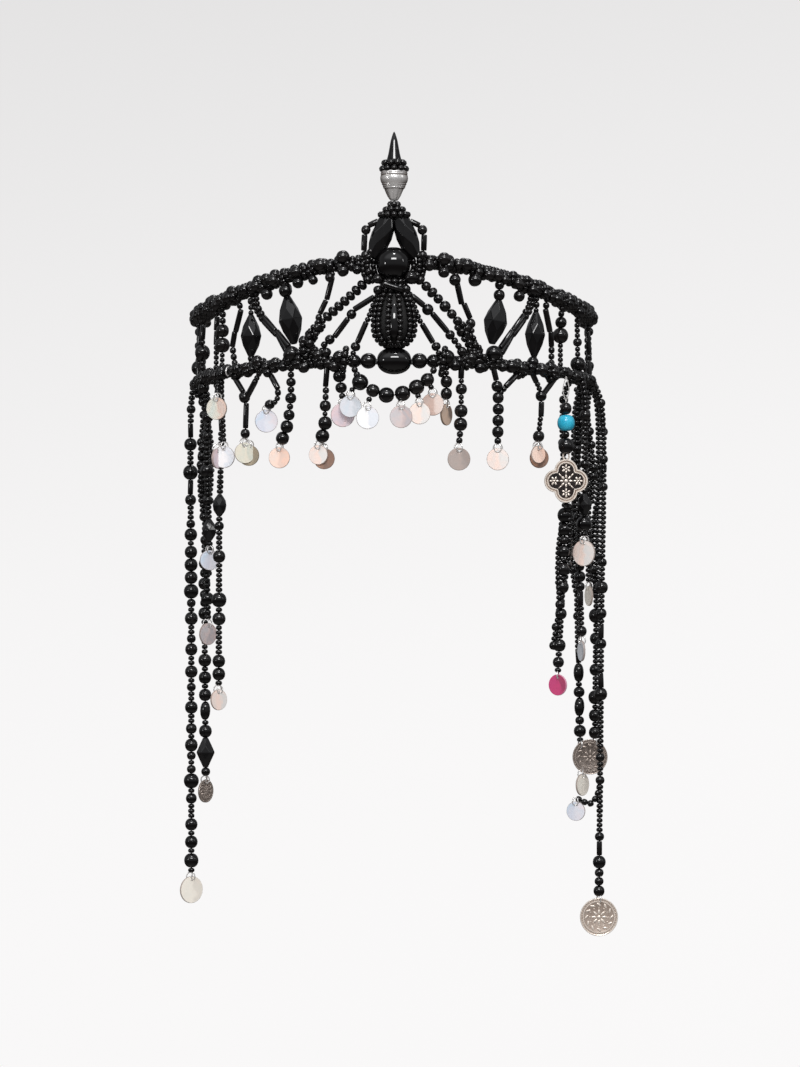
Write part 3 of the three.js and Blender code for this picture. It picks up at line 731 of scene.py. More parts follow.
@dataclass(frozen=True)
class DiscShape:
    """The blank of a drilled disc: its thickness, the hole's radius and the hole's distance from the rim.

    rim is where the rim's band starts, as a share of the radius, and edge how far the edges are rounded off,
    as a share of the thickness.
    """

    thick: float = 1.0
    hole: float = 0.62
    inset: float = 1.6
    rim: float = 0.93
    edge: float = 0.24
    sides: int = 40

    def body(self, across: float) -> bmesh.types.BMesh:
        """Cuts the disc from its rim and hole.

        Args:
            across: the disc's width.

        Returns:
            The disc facing -Y, with its hole towards +Z.
        """
        body = bmesh.new()
        up = Matrix.Translation((0, across / 2 - self.inset, 0))
        bmesh.ops.create_circle(body, segments=self.sides, radius=self.rim * across / 2)
        bmesh.ops.create_circle(body, segments=self.sides, radius=self.hole, matrix=up)
        bmesh.ops.bridge_loops(body, edges=body.edges)
        near_rim = across / 2 * 0.9
        border = [edge for edge in body.edges if edge.is_boundary and edge.verts[0].co.length > near_rim]
        grown = bmesh.ops.extrude_edge_only(body, edges=border)
        outer = [part for part in grown["geom"] if isinstance(part, bmesh.types.BMVert)]
        bmesh.ops.scale(body, vec=(1 / self.rim, 1 / self.rim, 1), verts=outer)
        thicken(body, body.faces[:], self.thick)
        sharp = [edge for edge in body.edges if edge.calc_face_angle(0) > 1]
        bmesh.ops.bevel(body, geom=sharp, offset=self.thick * self.edge, segments=2, profile=0.5,
                        affect="EDGES", material=-1)
        bmesh.ops.translate(body, vec=(0, 0, -self.thick / 2), verts=body.verts)
        facing = Matrix.Rotation(math.pi / 2, 3, "X")
        bmesh.ops.rotate(body, cent=(0, 0, 0), matrix=facing, verts=body.verts)
        return body


DISC = DiscShape()


@cache
def disc_form(across: float) -> bpy.types.Mesh:
    """The mesh of a shell disc.

    Args:
        across: its width.

    Returns:
        The disc facing -Y, with its tone rising to 1 at the rim.
    """
    form = keep_form(DISC.body(across), "shell_disc", smooth=False, reach=across / 2)
    band = (DISC.rim + 1) * across / 4
    shade(form, lambda corner: float(math.hypot(corner.x, corner.z) > band))
    return form


class Route:
    """A line through space, in short straight steps, on which beads are laid."""

    def __init__(self, points: Iterable[Vector]) -> None:
        """Measures the line.

        Args:
            points: its points in order.
        """
        self.points = [Vector(point) for point in points]
        self.marks = [0.0]
        for one, other in zip(self.points, self.points[1:]):
            self.marks.append(self.marks[-1] + (other - one).length)

    @property
    def length(self) -> float:
        """The line's length."""
        return self.marks[-1]

    def at(self, distance: float) -> tuple[Vector, Vector]:
        """The point and the direction at a distance along the line.

        Args:
            distance: from the start, held between the line's ends.

        Returns:
            The point and the unit direction there.
        """
        step = min(max(bisect_right(self.marks, distance) - 1, 0), len(self.points) - 2)
        one, other = self.points[step], self.points[step + 1]
        span = max(self.marks[step + 1] - self.marks[step], 1e-9)
        share = min(max((distance - self.marks[step]) / span, 0), 1)
        return one.lerp(other, share), (other - one).normalized()

    @classmethod
    def through(cls, rows: Sequence[Vector], steps: int = 16) -> "Route":
        """A smooth line through a few points.

        Args:
            rows: the points that it passes.
            steps: straight steps between two of them.

        Returns:
            The line.
        """
        if len(rows) == 2:
            return cls([rows[0].lerp(rows[1], step / steps) for step in range(steps + 1)])
        ends = [rows[0] * 2 - rows[1], *rows, rows[-1] * 2 - rows[-2]]
        points = [rows[0]]
        for before, one, other, after in zip(ends, ends[1:], ends[2:], ends[3:]):
            spans = ((before, one), (one, other), (other, after))
            first, gap, last = [max((end - start).length ** 0.5, WELD) for start, end in spans]
            leave = (one - before) / first - (other - before) / (first + gap) + (other - one) / gap
            arrive = (other - one) / gap - (after - one) / (gap + last) + (after - other) / last
            leave, arrive = leave * gap, arrive * gap
            for step in range(1, steps + 1):
                t = step / steps
                bend = (leave * t + (other * 3 - one * 3 - leave * 2 - arrive) * t ** 2
                        + (one * 2 - other * 2 + leave + arrive) * t ** 3)
                points.append(one + bend)
        return cls(points)

    def wound(self, radius: Pair, phase: float, pitch: float, step: float = 0.8) -> "Route":
        """A strand that winds round this line.

        Args:
            radius: its distance from the line at the start and at the end.
            phase: where it starts round the line, in turns.
            pitch: length of the line for one turn.
            step: length of its straight steps.

        Returns:
            The strand's line.
        """
        count = max(int(self.length / step), 2)
        points = []
        for number in range(count + 1):
            share = number / count
            centre, along = self.at(share * self.length)
            guide = UP if abs(along.z) < STEEP else FRONT
            side = along.cross(guide).normalized()
            over = side.cross(along)
            turn = math.tau * (phase + share * self.length / pitch)
            reach = radius[0] + (radius[1] - radius[0]) * share
            points.append(centre + (side * math.cos(turn) + over * math.sin(turn)) * reach)
        return Route(points)


@dataclass(frozen=True)
class Band:
    """The line of a rope round the head, by the angle from the brow towards the right temple.

    temple is its height there, and rise how much higher it is at the brow, reached by the cosine's power.
    """

    half_width: float
    half_depth: float
    temple: float
    rise: float
    power: float

    def point(self, degrees: float) -> Vector:
        """The rope's middle at an angle.

        Args:
            degrees: the angle.

        Returns:
            The point.
        """
        angle = math.radians(degrees)
        height = self.temple + self.rise * abs(math.cos(angle)) ** self.power
        return Vector((self.half_width * math.sin(angle), -self.half_depth * math.cos(angle), height))

    def run(self, start: float, end: float) -> Route:
        """The rope's line between two angles."""
        steps = max(int(abs(end - start)), 4)
        return Route(self.point(start + (end - start) * step / steps) for step in range(steps + 1))


LOWER = Band(86, 101, -3.2, 7, 1)
UPPER = Band(85.5, 100, 27, 18.5, 2.25)
BACK = Band(86, 101, -3.6, 15.5, 1)
ROPE_END = 98.0


def on_band(x: float, z: float, out: float = 0.0) -> Vector:
    """A point over the front of the band, by its x and z as seen from the front.

    Args:
        x: to the right.
        z: up.
        out: how far it stands in front of the lower rope.

    Returns:
        The point.
    """
    share = x / (LOWER.half_width + out)
    return Vector((x, -(LOWER.half_depth + out) * math.sqrt(1 - share * share), z))


class Side(Enum):
    """The two halves of the headdress, with the sign of x there."""

    LEFT = -1
    RIGHT = 1

    @property
    def word(self) -> str:
        """The side's word in a node's name."""
        return self.name.lower()


class Paint(Enum):
    """The finishes of beads, threads and metal, in the order of their places on a piece."""

    JET = Glass("jet_glass")
    CUT_JET = Glass("cut_jet_glass", deep=rgb(12, 12, 13), worn=rgb(24, 23, 24), roughness=0.07,
                    spread=0.04, ripple=0.001)
    THREAD = Yarn("black_thread", rgb(9, 8, 8), rgb(18, 17, 17))
    CLEAR_THREAD = Yarn("clear_thread", rgb(170, 168, 166), rgb(206, 204, 202), roughness=0.25)
    # warm_silver is only on the cup, where its bright and dark colours are laid out by a painted highlight
    # and painted shade.
    SILVER = Metal("warm_silver", rgb(250, 248, 246), rgb(92, 76, 66), roughness=0.16, stain=0.06, oxide=0.3)
    RING = Metal("ring_silver", rgb(244, 242, 240), rgb(176, 170, 166), roughness=0.18, stain=0.2, oxide=0.4)
    COIN = Metal("coin_silver", rgb(248, 236, 224), rgb(140, 118, 104), roughness=0.28, stain=0.2, oxide=0.55)
    DARK_COIN = Metal("dark_coin_silver", rgb(190, 176, 166), rgb(58, 48, 44), roughness=0.3, stain=0.35,
                      oxide=0.4)
    ENAMEL = Stone("dark_enamel", rgb(34, 22, 19), rgb(22, 15, 13), rgb(54, 38, 32), roughness=0.3)
    TURQUOISE = Stone("turquoise", rgb(62, 188, 218), rgb(44, 172, 206), rgb(30, 146, 182))
    PINK = Pearl("dyed_pink_shell", rgb(196, 40, 110), rgb(158, 24, 82), turn=6, rim=rgb(222, 160, 184),
                 flash=0.06)


@cache
def material(finish: Paint | Tint) -> bpy.types.Material:
    """The material of a finish, made once."""
    return finish.value.make()


@dataclass
class Batch:
    """Copies of one form with one finish."""

    form: bpy.types.Mesh
    finish: Paint | Tint
    places: list[Matrix] = field(default_factory=list)
    tones: list[float | None] = field(default_factory=list)


def numbers(items: bpy.types.bpy_prop_collection, name: str, kind: type, width: int = 1) -> np.ndarray:
    """Reads one property of all items of a mesh.

    Args:
        items: such as its vertices.
        name: the property.
        kind: the numbers' type.
        width: how many numbers an item has.

    Returns:
        The numbers, a row for each item.
    """
    found = np.empty(len(items) * width, kind)
    items.foreach_get(name, found)
    return found.reshape(-1, width) if width > 1 else found


THREAD = 0.32
CLEAR = 0.22


class Beadwork:
    """The beads, threads and findings of one piece, gathered in millimetres and joined as one mesh.

    A chart may be longer or shorter than its line by the slack. A bead is stretched no further than least and
    most say, and a bugle no further than most_bugle. The sizes of beads of a sort differ by the spread.
    """

    slack: float = 1.6
    least: float = 0.92
    most: float = 1.08
    most_bugle: float = 1.3
    spread: Pair = (0.97, 1.03)

    def __init__(self, name: str) -> None:
        """Starts a piece.

        Args:
            name: the piece's name, which also seeds its chance variation.
        """
        self.name = name
        self.chance = random.Random(name)
        self.batches: dict[tuple[str, str], Batch] = {}
        self.threads: dict[tuple[str, float], list[Route]] = {}

    def place(self, form: bpy.types.Mesh, matrix: Matrix, finish: Paint | Tint,
              tone: float | None = None) -> None:
        """Puts one copy of a form in its place.

        Args:
            form: the form's mesh.
            matrix: its place in millimetres.
            finish: what it is made of.
            tone: its own shade from 0 to 1, or the form's.
        """
        batch = self.batches.setdefault((form.name, finish.name), Batch(form, finish))
        batch.places.append(matrix)
        batch.tones.append(tone)

    def bead(self, sort: Sort, centre: Vector, along: Vector, stretch: float = 1.0,
             lean: float = 3.0) -> None:
        """Puts one bead on its thread.

        Args:
            sort: which bead.
            centre: its middle.
            along: the thread's direction.
            stretch: share of its length, as beads of a sort differ.
            lean: the most that it tilts, in degrees.
        """
        tilt = Vector([self.chance.uniform(-1, 1) * math.radians(lean) for _ in range(3)])
        spin = Quaternion((0, 0, 1), self.chance.uniform(0, math.tau))
        turn = (along + tilt).to_track_quat("Z", "Y") @ spin
        size = Vector((1, 1, stretch)) * self.chance.uniform(*self.spread)
        finish = Paint.CUT_JET if sort.form is Form.CUT else Paint.JET
        self.place(bead_form(sort), Matrix.LocRotScale(centre, turn, size), finish, self.chance.random())

    def string(self, line: Route, sorts: Sequence[Sort], thread: Paint | None = Paint.THREAD) -> None:
        """Strings beads along a line, spread to its length.

        Args:
            line: the thread's line.
            sorts: the beads in order.
            thread: the finish of the thread, or None where the beads hide it.
        """
        beads = self.fitted(line.length, sorts)
        spread = line.length / sum(sort.long for sort in beads)
        at = 0.0
        for sort in beads:
            half = sort.long * spread / 2
            centre, along = line.at(at + half)
            most = self.most_bugle if sort.form is Form.BUGLE else self.most
            self.bead(sort, centre, along, min(max(spread, self.least), most))
            at += 2 * half
        if thread:
            self.thread(line, THREAD, thread)

    def fitted(self, length: float, sorts: Sequence[Sort]) -> list[Sort]:
        """Adds or leaves out seed beads until a chart about fills its line.

        Args:
            length: the line's length.
            sorts: the beads in order.

        Returns:
            The beads that are strung.
        """
        beads = list(sorts)
        short = length - sum(sort.long for sort in beads)
        while abs(short) > self.slack:
            seeds = [number for number, sort in enumerate(beads) if sort.form is Form.SEED]
            if not seeds:
                break
            number = self.chance.choice(seeds)
            if short > 0:
                short -= beads[number].long
                beads.insert(number, beads[number])
            else:
                short += beads.pop(number).long
        return beads

    def mixed(self, length: float, shares: dict[str, float]) -> list[Sort]:
        """Picks beads for a strand by chance.

        Args:
            length: the strand's length.
            shares: how often each letter comes.

        Returns:
            Sorts that fill the length.
        """
        picked: list[Sort] = []
        while sum(sort.long for sort in picked) < length - 1:
            picked.append(SORTS[self.chance.choices(list(shares), list(shares.values()))[0]])
        return picked

    def bunch(self, centre: Vector, radius: float, count: int, letters: str = "s") -> None:
        """A knot of small beads round a point.

        Args:
            centre: the knot's middle.
            radius: how far the beads' middles stand from it.
            count: how many beads it has.
            letters: the sorts, taken in turn.
        """
        for number in range(count):
            height = 1 - 2 * (number + 0.5) / count
            turn = number * math.pi * (3 - math.sqrt(5))
            flat = math.sqrt(1 - height * height)
            away = Vector((flat * math.cos(turn), flat * math.sin(turn), height))
            sort = SORTS[letters[number % len(letters)]]
            self.bead(sort, centre + away * radius, away.orthogonal(), lean=20)

    def thread(self, line: Route, radius: float, finish: Paint) -> None:
        """Lays a thread or wire along a line."""
        self.threads.setdefault((finish.name, radius), []).append(line)

    def _thread_form(self, radius: float, lines: Sequence[Route]) -> bpy.types.Mesh:
        """The mesh of all threads of one thickness.

        Args:
            radius: their radius.
            lines: their lines.

        Returns:
            Closed tubes as one mesh.
        """
        curve = bpy.data.curves.new(f"{self.name}_thread", "CURVE")
        curve.dimensions = "3D"
        curve.bevel_depth = radius
        curve.bevel_resolution = 1
        curve.use_fill_caps = True
        for line in lines:
            spline = curve.splines.new("POLY")
            kept = line.points[::2]
            if line.points[-1] not in kept:
                kept.append(line.points[-1])
            spline.points.add(len(kept) - 1)
            spline.points.foreach_set("co", [part for point in kept for part in (*point, 1)])
        holder = bpy.data.objects.new(curve.name, curve)
        bpy.context.scene.collection.objects.link(holder)
        mesh = bpy.data.meshes.new_from_object(holder.evaluated_get(bpy.context.evaluated_depsgraph_get()))
        bpy.data.objects.remove(holder)
        body = bmesh.new()
        body.from_mesh(mesh)
        return keep_form(body, curve.name, smooth=True)

    def joined(self) -> bpy.types.Mesh:
        """Joins all copies as one mesh in metres.

        Returns:
            The mesh, with a material for each finish.
        """
        for (finish, radius), lines in self.threads.items():
            self.place(self._thread_form(radius, lines), Matrix.Identity(4), Paint[finish])
        points, tones, local, corners, starts, smooth, slots = [], [], [], [], [], [], []
        first_point = first_corner = 0
        finishes = list({batch.finish.name: batch.finish for batch in self.batches.values()}.values())
        for batch in self.batches.values():
            form_points = numbers(batch.form.vertices, "co", np.float32, 3)
            form_local = numbers(batch.form.attributes["local"].data, "vector", np.float32, 3)
            form_corners = numbers(batch.form.loops, "vertex_index", np.int32)
            form_starts = numbers(batch.form.polygons, "loop_start", np.int32)
            form_smooth = numbers(batch.form.polygons, "use_smooth", bool)
            form_tones = numbers(batch.form.attributes["tone"].data, "value", np.float32)
            frames = np.array([[list(row) for row in matrix] for matrix in batch.places])
            moved = np.einsum("kij,nj->kni", frames[:, :3, :3], form_points) + frames[:, None, :3, 3]
            count, size = len(batch.places), len(form_points)
            shift = np.arange(count)[:, None]
            points.append(moved.reshape(-1, 3) * MM)
            local.append(np.tile(form_local, (count, 1)))
            own = [form_tones if tone is None else np.full(size, tone) for tone in batch.tones]
            tones.append(np.concatenate(own))
            corners.append((form_corners[None] + shift * size + first_point).ravel())
            starts.append((form_starts[None] + shift * len(form_corners) + first_corner).ravel())
            smooth.append(np.tile(form_smooth, count))
            slots.append(np.full(count * len(form_starts), finishes.index(batch.finish)))
            first_point += count * size
            first_corner += count * len(form_corners)
        mesh = bpy.data.meshes.new(self.name)
        mesh.vertices.add(first_point)
        mesh.loops.add(first_corner)
        mesh.polygons.add(sum(len(part) for part in starts))
        mesh.vertices.foreach_set("co", np.concatenate(points).astype(np.float32).ravel())
        mesh.polygons.foreach_set("loop_start", np.concatenate(starts).astype(np.int32))
        mesh.polygons.foreach_set("vertices", np.concatenate(corners).astype(np.int32))
        mesh.polygons.foreach_set("use_smooth", np.concatenate(smooth))
        mesh.polygons.foreach_set("material_index", np.concatenate(slots).astype(np.int32))
        tone_data = mesh.attributes.new("tone", "FLOAT", "POINT").data
        tone_data.foreach_set("value", np.concatenate(tones).astype(np.float32))
        local_data = mesh.attributes.new("local", "FLOAT_VECTOR", "POINT").data
        local_data.foreach_set("vector", np.concatenate(local).astype(np.float32).ravel())
        mesh.update(calc_edges=True)
        mesh.validate()
        for finish in finishes:
            mesh.materials.append(material(finish))
        return mesh

    def publish(self, slot: str, *nodes: str) -> bpy.types.Object:
        """Makes the piece and says what it stands for.

        Args:
            slot: the record's material slot; not used.
            nodes: the CAD nodes that it replaces.

        Returns:
            The piece.
        """
        piece = bpy.data.objects.new(self.name, self.joined())
        bpy.context.scene.collection.objects.link(piece)
        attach(piece, BODY)
        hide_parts(*nodes)
        log.info("%s: %d faces for %s", self.name, len(piece.data.polygons), ", ".join(nodes))
        return piece


RING_RADIUS = 1.85
RING_WIRE = 0.27
RING_TOP = 1.75


@dataclass(frozen=True)
class HeldRing:
    """A jump ring that a strand holds: its wire, its turn, and how high its middle and its tie stand."""

    wire: float = 0.3
    open_turn: float = 24
    lift: float = 1.3
    strand_lift: float = 1.04

    def build(self, name: str, centre: Vector, turn: float, node: str) -> None:
        """Makes the ring as a piece of its own.

        Args:
            name: the piece's name.
            centre: its middle.
            turn: its disc's turn about the upright, in degrees.
            node: the CAD node that it helps to stand for.
        """
        ring = Beadwork(name)
        turned_open = Matrix.Rotation(math.radians(turn + self.open_turn), 4, "Z")
        stand = turned_open @ Matrix.Rotation(math.pi / 2, 4, "Y")
        ring.place(ring_form(RING_RADIUS, self.wire), Matrix.Translation(centre) @ stand, Paint.RING)
        ring.publish("silver", node)


HELD_RING = HeldRing()


@dataclass(frozen=True)
class Pendant:
    """A disc on its ring: its middle, width, turn about the upright in degrees, and tint.

    The disc tilts by up to tilt degrees. The ring is drawn as two turns of wire, that lie swing degrees off
    the disc to either side and apart from each other by twice the gap.
    """

    at: Vector
    across: float
    turn: float
    tint: Tint | Paint
    tilt: float = 4
    swing: Pair = (35, 70)
    gap: float = 0.25
    coin_thick: float = 0.9

    @property
    def strand_end(self) -> Vector:
        """Where the strand meets the ring."""
        return self.at + UP * (self.across / 2 - DISC.inset + RING_RADIUS * RING_TOP)

    def build(self, name: str, node: str, slot: str = "shell") -> None:
        """Makes the disc and its jump ring as two pieces.

        Args:
            name: start of their names.
            node: the CAD node that they help to stand for.
            slot: the disc's material slot.
        """
        turn = Matrix.Rotation(math.radians(self.turn), 4, "Z")
        disc = Beadwork(f"{name}_disc")
        tilt = Matrix.Rotation(math.radians(disc.chance.uniform(-self.tilt, self.tilt)), 4, "Y")
        place = Matrix.Translation(self.at) @ turn @ tilt
        if isinstance(self.tint, Paint):
            Coin(self.across, self.coin_thick, self.tint).relief(disc, place)
        else:
            disc.place(disc_form(self.across), place, self.tint)
        disc.publish(slot, node)
        ring = Beadwork(f"{name}_ring")
        lift = self.across / 2 - DISC.inset + RING_RADIUS - RING_WIRE
        stand = Matrix.Rotation(math.pi / 2, 4, "Y")
        for sign in (1, -1):
            swing = Matrix.Rotation(math.radians(sign * ring.chance.uniform(*self.swing)), 4, "Z")
            centre = Matrix.Translation(self.at + Vector((-sign * self.gap, 0, lift)))
            ring.place(ring_form(RING_RADIUS, RING_WIRE), centre @ turn @ swing @ stand, Paint.RING)
        ring.publish("silver", node)


THICK = {"q": 0.56, "p": 0.22, "e": 0.16, "m": 0.06}
WOUND = {"q": 0.6, "p": 0.3, "e": 0.1}
FINE = {"q": 0.75, "p": 0.25}
LOOSE = {"r": 0.5, "q": 0.34, "e": 0.16}


@dataclass
class Ropes:
    """The two ropes round the brow, the strands between them at the temples and the back strand.

    Each rope is a number of strands wound round a core at a radius, between two turns of the head. The tables
    hold the beads that stand out of the ropes, by x and z and their letter, the knots, by x, z, radius and
    count, and the strands that hang between the ropes, by the x and z that they pass or by their turn.
    """

    upper_start: float = 7.5
    strands: int = 6
    pitch: float = 44.0
    upper_radius: Pair = (1.75, 2.7)
    upper_out: float = 1.6
    lower_radius: Pair = (1.3, 1.5)
    lower_out: float = 1.2
    lower_strands: int = 4
    lower_pitch: float = 44.0 * 0.7
    core: float = 1.3
    lower_core: float = 0.6
    wrap_z: float = 3.6
    wrap_reach: tuple[float, float, float] = (0.8, 4.2, 5.4)
    brow_rows: dict[Side, tuple[float, float, str]] = field(default_factory=lambda: {
        Side.LEFT: (4.8, 18, "x g g s"),
        Side.RIGHT: (5, 18, "x g s g"),
    })
    upper_rounds: dict[Side, list[tuple[float, float, str]]] = field(default_factory=lambda: {
        Side.LEFT: [(-21.1, 47.0, "g"), (-21.1, 41.2, "m"), (-30.7, 43.9, "g"), (-40.0, 36.7, "m"),
                    (-33.6, 37.7, "e"), (-53.3, 32.6, "m"), (-45.3, 33.6, "g"), (-50.7, 38.2, "m"),
                    (-58.1, 36.3, "m"), (-63.4, 35.0, "m"), (-40.8, 41.3, "m"), (-70.2, 32.4, "m"),
                    (-15.2, 41.6, "e"), (-26.6, 38.6, "e"), (-75.2, 29.8, "m"), (-80.4, 28.2, "e")],
        Side.RIGHT: [(20.9, 46.1, "g"), (20.9, 40.7, "m"), (25.5, 37.5, "m"), (30.6, 43.9, "g"),
                     (33.9, 37.7, "g"), (39.8, 40.0, "m"), (52.7, 31.7, "m"), (46.6, 38.2, "e"),
                     (52.2, 36.8, "m"), (14.8, 43.4, "m"), (58.6, 34.6, "m"), (64.2, 33.4, "e"),
                     (69.4, 31.6, "m"), (74.8, 30.2, "e"), (79.8, 27.2, "m")],
    })
    lower_knots: dict[Side, list[tuple[float, float, float, int]]] = field(default_factory=lambda: {
        Side.LEFT: [(-42.6, 6.2, 2.9, 24), (-55.5, 2.6, 2.4, 18), (-34.5, 8.0, 2.2, 16),
                    (-67.0, 0.6, 2.4, 18), (-29.0, 3.2, 2.2, 14)],
        Side.RIGHT: [(41.8, 5.4, 2.9, 24), (53.2, 0.4, 2.4, 18), (33.4, 6.8, 2.4, 18),
                     (67.0, -0.6, 2.4, 18), (29.6, 3.0, 2.2, 14)],
    })
    wraps: dict[Side, float] = field(default_factory=lambda: {Side.LEFT: -20.6, Side.RIGHT: 20.6})
    hanging: dict[Side, list[tuple[list[Pair], str]]] = field(default_factory=lambda: {
        Side.LEFT: [
            ([(-58, 34), (-56.8, 26.5), (-45.4, 12), (-43.6, 7)], "2s p 2B p"),
            ([(-59.6, 34), (-58.2, 26.5), (-46.8, 12), (-45.0, 7)], "3s p 2B"),
            ([(-65.8, 32), (-65.2, 26), (-68.4, 12.2), (-67, 1)], "s p B b 3p s"),
            ([(-60.4, 34), (-60.3, 24)], "s p 2s"),
            ([(-60.3, 7), (-60.3, 1)], "p s p"),
            ([(-45.4, 38), (-44.8, 31.3)], "m"),
            ([(-73, 31), (-73.2, 14), (-73.4, 1)], "s p g x 4s"),
        ],
        Side.RIGHT: [
            ([(58, 34), (56.4, 27), (46, 11.4), (44, 7)], "2s p 2B p"),
            ([(59.6, 34), (57.8, 27), (47.4, 11.4), (45.4, 7)], "3s p 2B"),
            ([(64.8, 32), (64.6, 26), (66.8, 15), (66.8, 1)], "s p B b 3p s"),
            ([(60.4, 34), (60.1, 25.2)], "s p s"),
            ([(59.2, 7), (59.0, 1)], "p s p"),
            ([(44.4, 38), (44.1, 29.5)], "e m"),
            ([(71.6, 31), (71, 14), (71, 1)], "s p m x 4s"),
        ],
    })
    lower_rounds: dict[Side, tuple[tuple[float, float, str], ...]] = field(default_factory=lambda: {
        Side.LEFT: ((-42.6, 7.2, "x"), (-57.5, 4.6, "m"), (-31.5, 6.4, "m"), (-70.6, 1.2, "m"),
                    (-62.4, 2.4, "e"), (-49.6, 3.6, "m"), (-46.4, 1.8, "e"), (-37.6, 1.4, "m"),
                    (-24.8, 1.6, "m"), (-53.0, -0.4, "e"), (-28.0, 7.4, "e"), (-22.6, 5.4, "g")),
        Side.RIGHT: ((41.8, 7.4, "x"), (58.6, 4.2, "m"), (32.4, 5.2, "m"), (49.4, 2.2, "g"), (53.6, 1.4, "m"),
                     (62.8, 1.2, "m"), (36.0, 1.2, "m"), (45.6, 1.6, "e"), (67.8, 0.6, "m"), (25.6, 2.0, "m"),
                     (28.4, 7.8, "e"), (22.4, 5.6, "g")),
    })
    temple_strands: dict[Side, tuple[tuple[float, str], ...]] = field(default_factory=lambda: {
        Side.LEFT: ((62.4, "2p b b 6q"), (75.5, "s p b s x 3s"), (83, "2p B 2p B"), (89, "2q e 4q e 3q x 2q"),
                    (95, "6p m 2p")),
        Side.RIGHT: ((67.2, "6q e 2q x q"), (82, "2q B p B"), (88, "2q e 5q e 3q"), (94, "6p m 2p")),
    })

    def build(self) -> None:
        """Makes all ropes."""
        for side in Side:
            self._upper(side)
            self._lower(side)
        HELD_RING.build("lower_rope_left_ring", on_band(-70.4, 0.8, 3), -50, "lower_rope_left")
        back = Beadwork("back_strand_beads")
        back.string(BACK.run(ROPE_END, 360 - ROPE_END), chart("100p"))
        back.publish("jet", "back_strand")

    def _upper(self, side: Side) -> None:
        """The upper rope of one side, with the strands that hang from it to the lower one.

        Args:
            side: the side of the head.
        """
        work = Beadwork(f"upper_rope_{side.word}_beads")
        run = UPPER.run(side.value * self.upper_start, side.value * ROPE_END)
        self._wind(work, run, self.strands, self.upper_radius, self.pitch)
        work.thread(run, self.core, Paint.THREAD)
        self._rounds(work, self.upper_rounds[side], self.upper_out)
        for rows, text in self.hanging[side]:
            work.string(Route.through([on_band(x, z) for x, z in rows]), chart(text))
        for angle, text in self.temple_strands[side]:
            turn = side.value * angle
            work.string(Route.through([UPPER.point(turn), LOWER.point(turn)]), chart(text))
        work.publish("jet", f"upper_rope_{side.word}")

    @staticmethod
    def _wind(work: Beadwork, run: Route, strands: int, radius: Pair, pitch: float) -> None:
        """Winds the seed strands of a rope.

        Args:
            work: the piece.
            run: the rope's line.
            strands: how many there are.
            radius: least and greatest distance from the line.
            pitch: length of one turn.
        """
        for number in range(strands):
            line = run.wound(radius, number / strands, pitch)
            work.string(line, work.mixed(line.length, THICK), None)

    @staticmethod
    def _rounds(work: Beadwork, rows: Iterable[tuple[float, float, str]], out: float) -> None:
        """Round beads tied on a rope.

        Args:
            work: the piece.
            rows: x, z and the letter of each bead.
            out: how far they stand in front of the band.
        """
        for x, z, letter in rows:
            work.bead(SORTS[letter], on_band(x, z, out), Vector((1, 0, 0)), lean=30)

    def _lower(self, side: Side) -> None:
        """The lower rope of one side: its row of rounds at the brow, then the wound strands.

        Args:
            side: the side of the head.
        """
        work = Beadwork(f"lower_rope_{side.word}_beads")
        start, turn, text = self.brow_rows[side]
        work.string(LOWER.run(side.value * start, side.value * turn), chart(text))
        run = LOWER.run(side.value * (turn - 1), side.value * ROPE_END)
        self._wind(work, run, self.lower_strands, self.lower_radius, self.lower_pitch)
        work.thread(run, self.lower_core, Paint.THREAD)
        self._rounds(work, self.lower_rounds[side], self.lower_out)
        for x, z, radius, count in self.lower_knots[side]:
            work.bunch(on_band(x, z), radius, count, "ssp")
        self._wrap(work, self.wraps[side])
        work.publish("jet", f"lower_rope_{side.word}")

    def _wrap(self, work: Beadwork, x: float) -> None:
        """Winds a ring of seed beads round the brow row.

        Args:
            work: the piece.
            x: where it stands.
        """
        centre = on_band(x, self.wrap_z)
        slant, deep, high = self.wrap_reach
        turns = [math.tau * step / 24 for step in range(25)]
        line = Route([centre + Vector((slant * math.sin(turn), deep * math.cos(turn), high * math.sin(turn)))
                      for turn in turns])
        work.string(line, chart("12p"), None)


@dataclass
class UprightBeads:
    """The faceted beads that stand between the ropes, by the x and z of their ends."""

    rows: dict[str, tuple[Pair, Pair, float]] = field(default_factory=lambda: {
        "left_inner": ((-44.7, 31.5), (-41.7, 11.3), 10.5),
        "left_outer": ((-60.3, 24.3), (-60.3, 6.6), 9.3),
        "right_inner": ((44.1, 29.8), (41.1, 11.3), 10.5),
        "right_outer": ((60.1, 25.6), (59.2, 6.5), 9.1),
    })

    def build(self) -> None:
        """Makes the four beads."""
        for name, (top, foot, across) in self.rows.items():
            work = Beadwork(f"faceted_bead_{name}_cut")
            self.stand(work, on_band(*foot), on_band(*top), across)
            work.publish("cut_jet", f"faceted_bead_{name}")

    @staticmethod
    def stand(work: Beadwork, foot: Vector, top: Vector, across: float, tip: float = CUT_TIP) -> None:
        """Puts a large cut bead between two points, with one lozenge facet turned almost to the front.

        Args:
            work: the piece that it belongs to.
            foot: its lower end.
            top: its upper end.
            across: its width.
            tip: share of the width that its blunt ends keep.
        """
        along = (top - foot).normalized()
        side = along.cross(Vector((math.copysign(0.27, foot.x), -1, 0))).normalized()
        turn = Matrix((side.cross(along), side, along)).transposed().to_quaternion()
        body = cut_body((top - foot).length, across, tip, edge=0.16)
        form = keep_form(body, f"{work.name}_form", smooth=False)
        work.place(form, Matrix.LocRotScale((foot + top) / 2, turn, None), Paint.CUT_JET, 0.3)


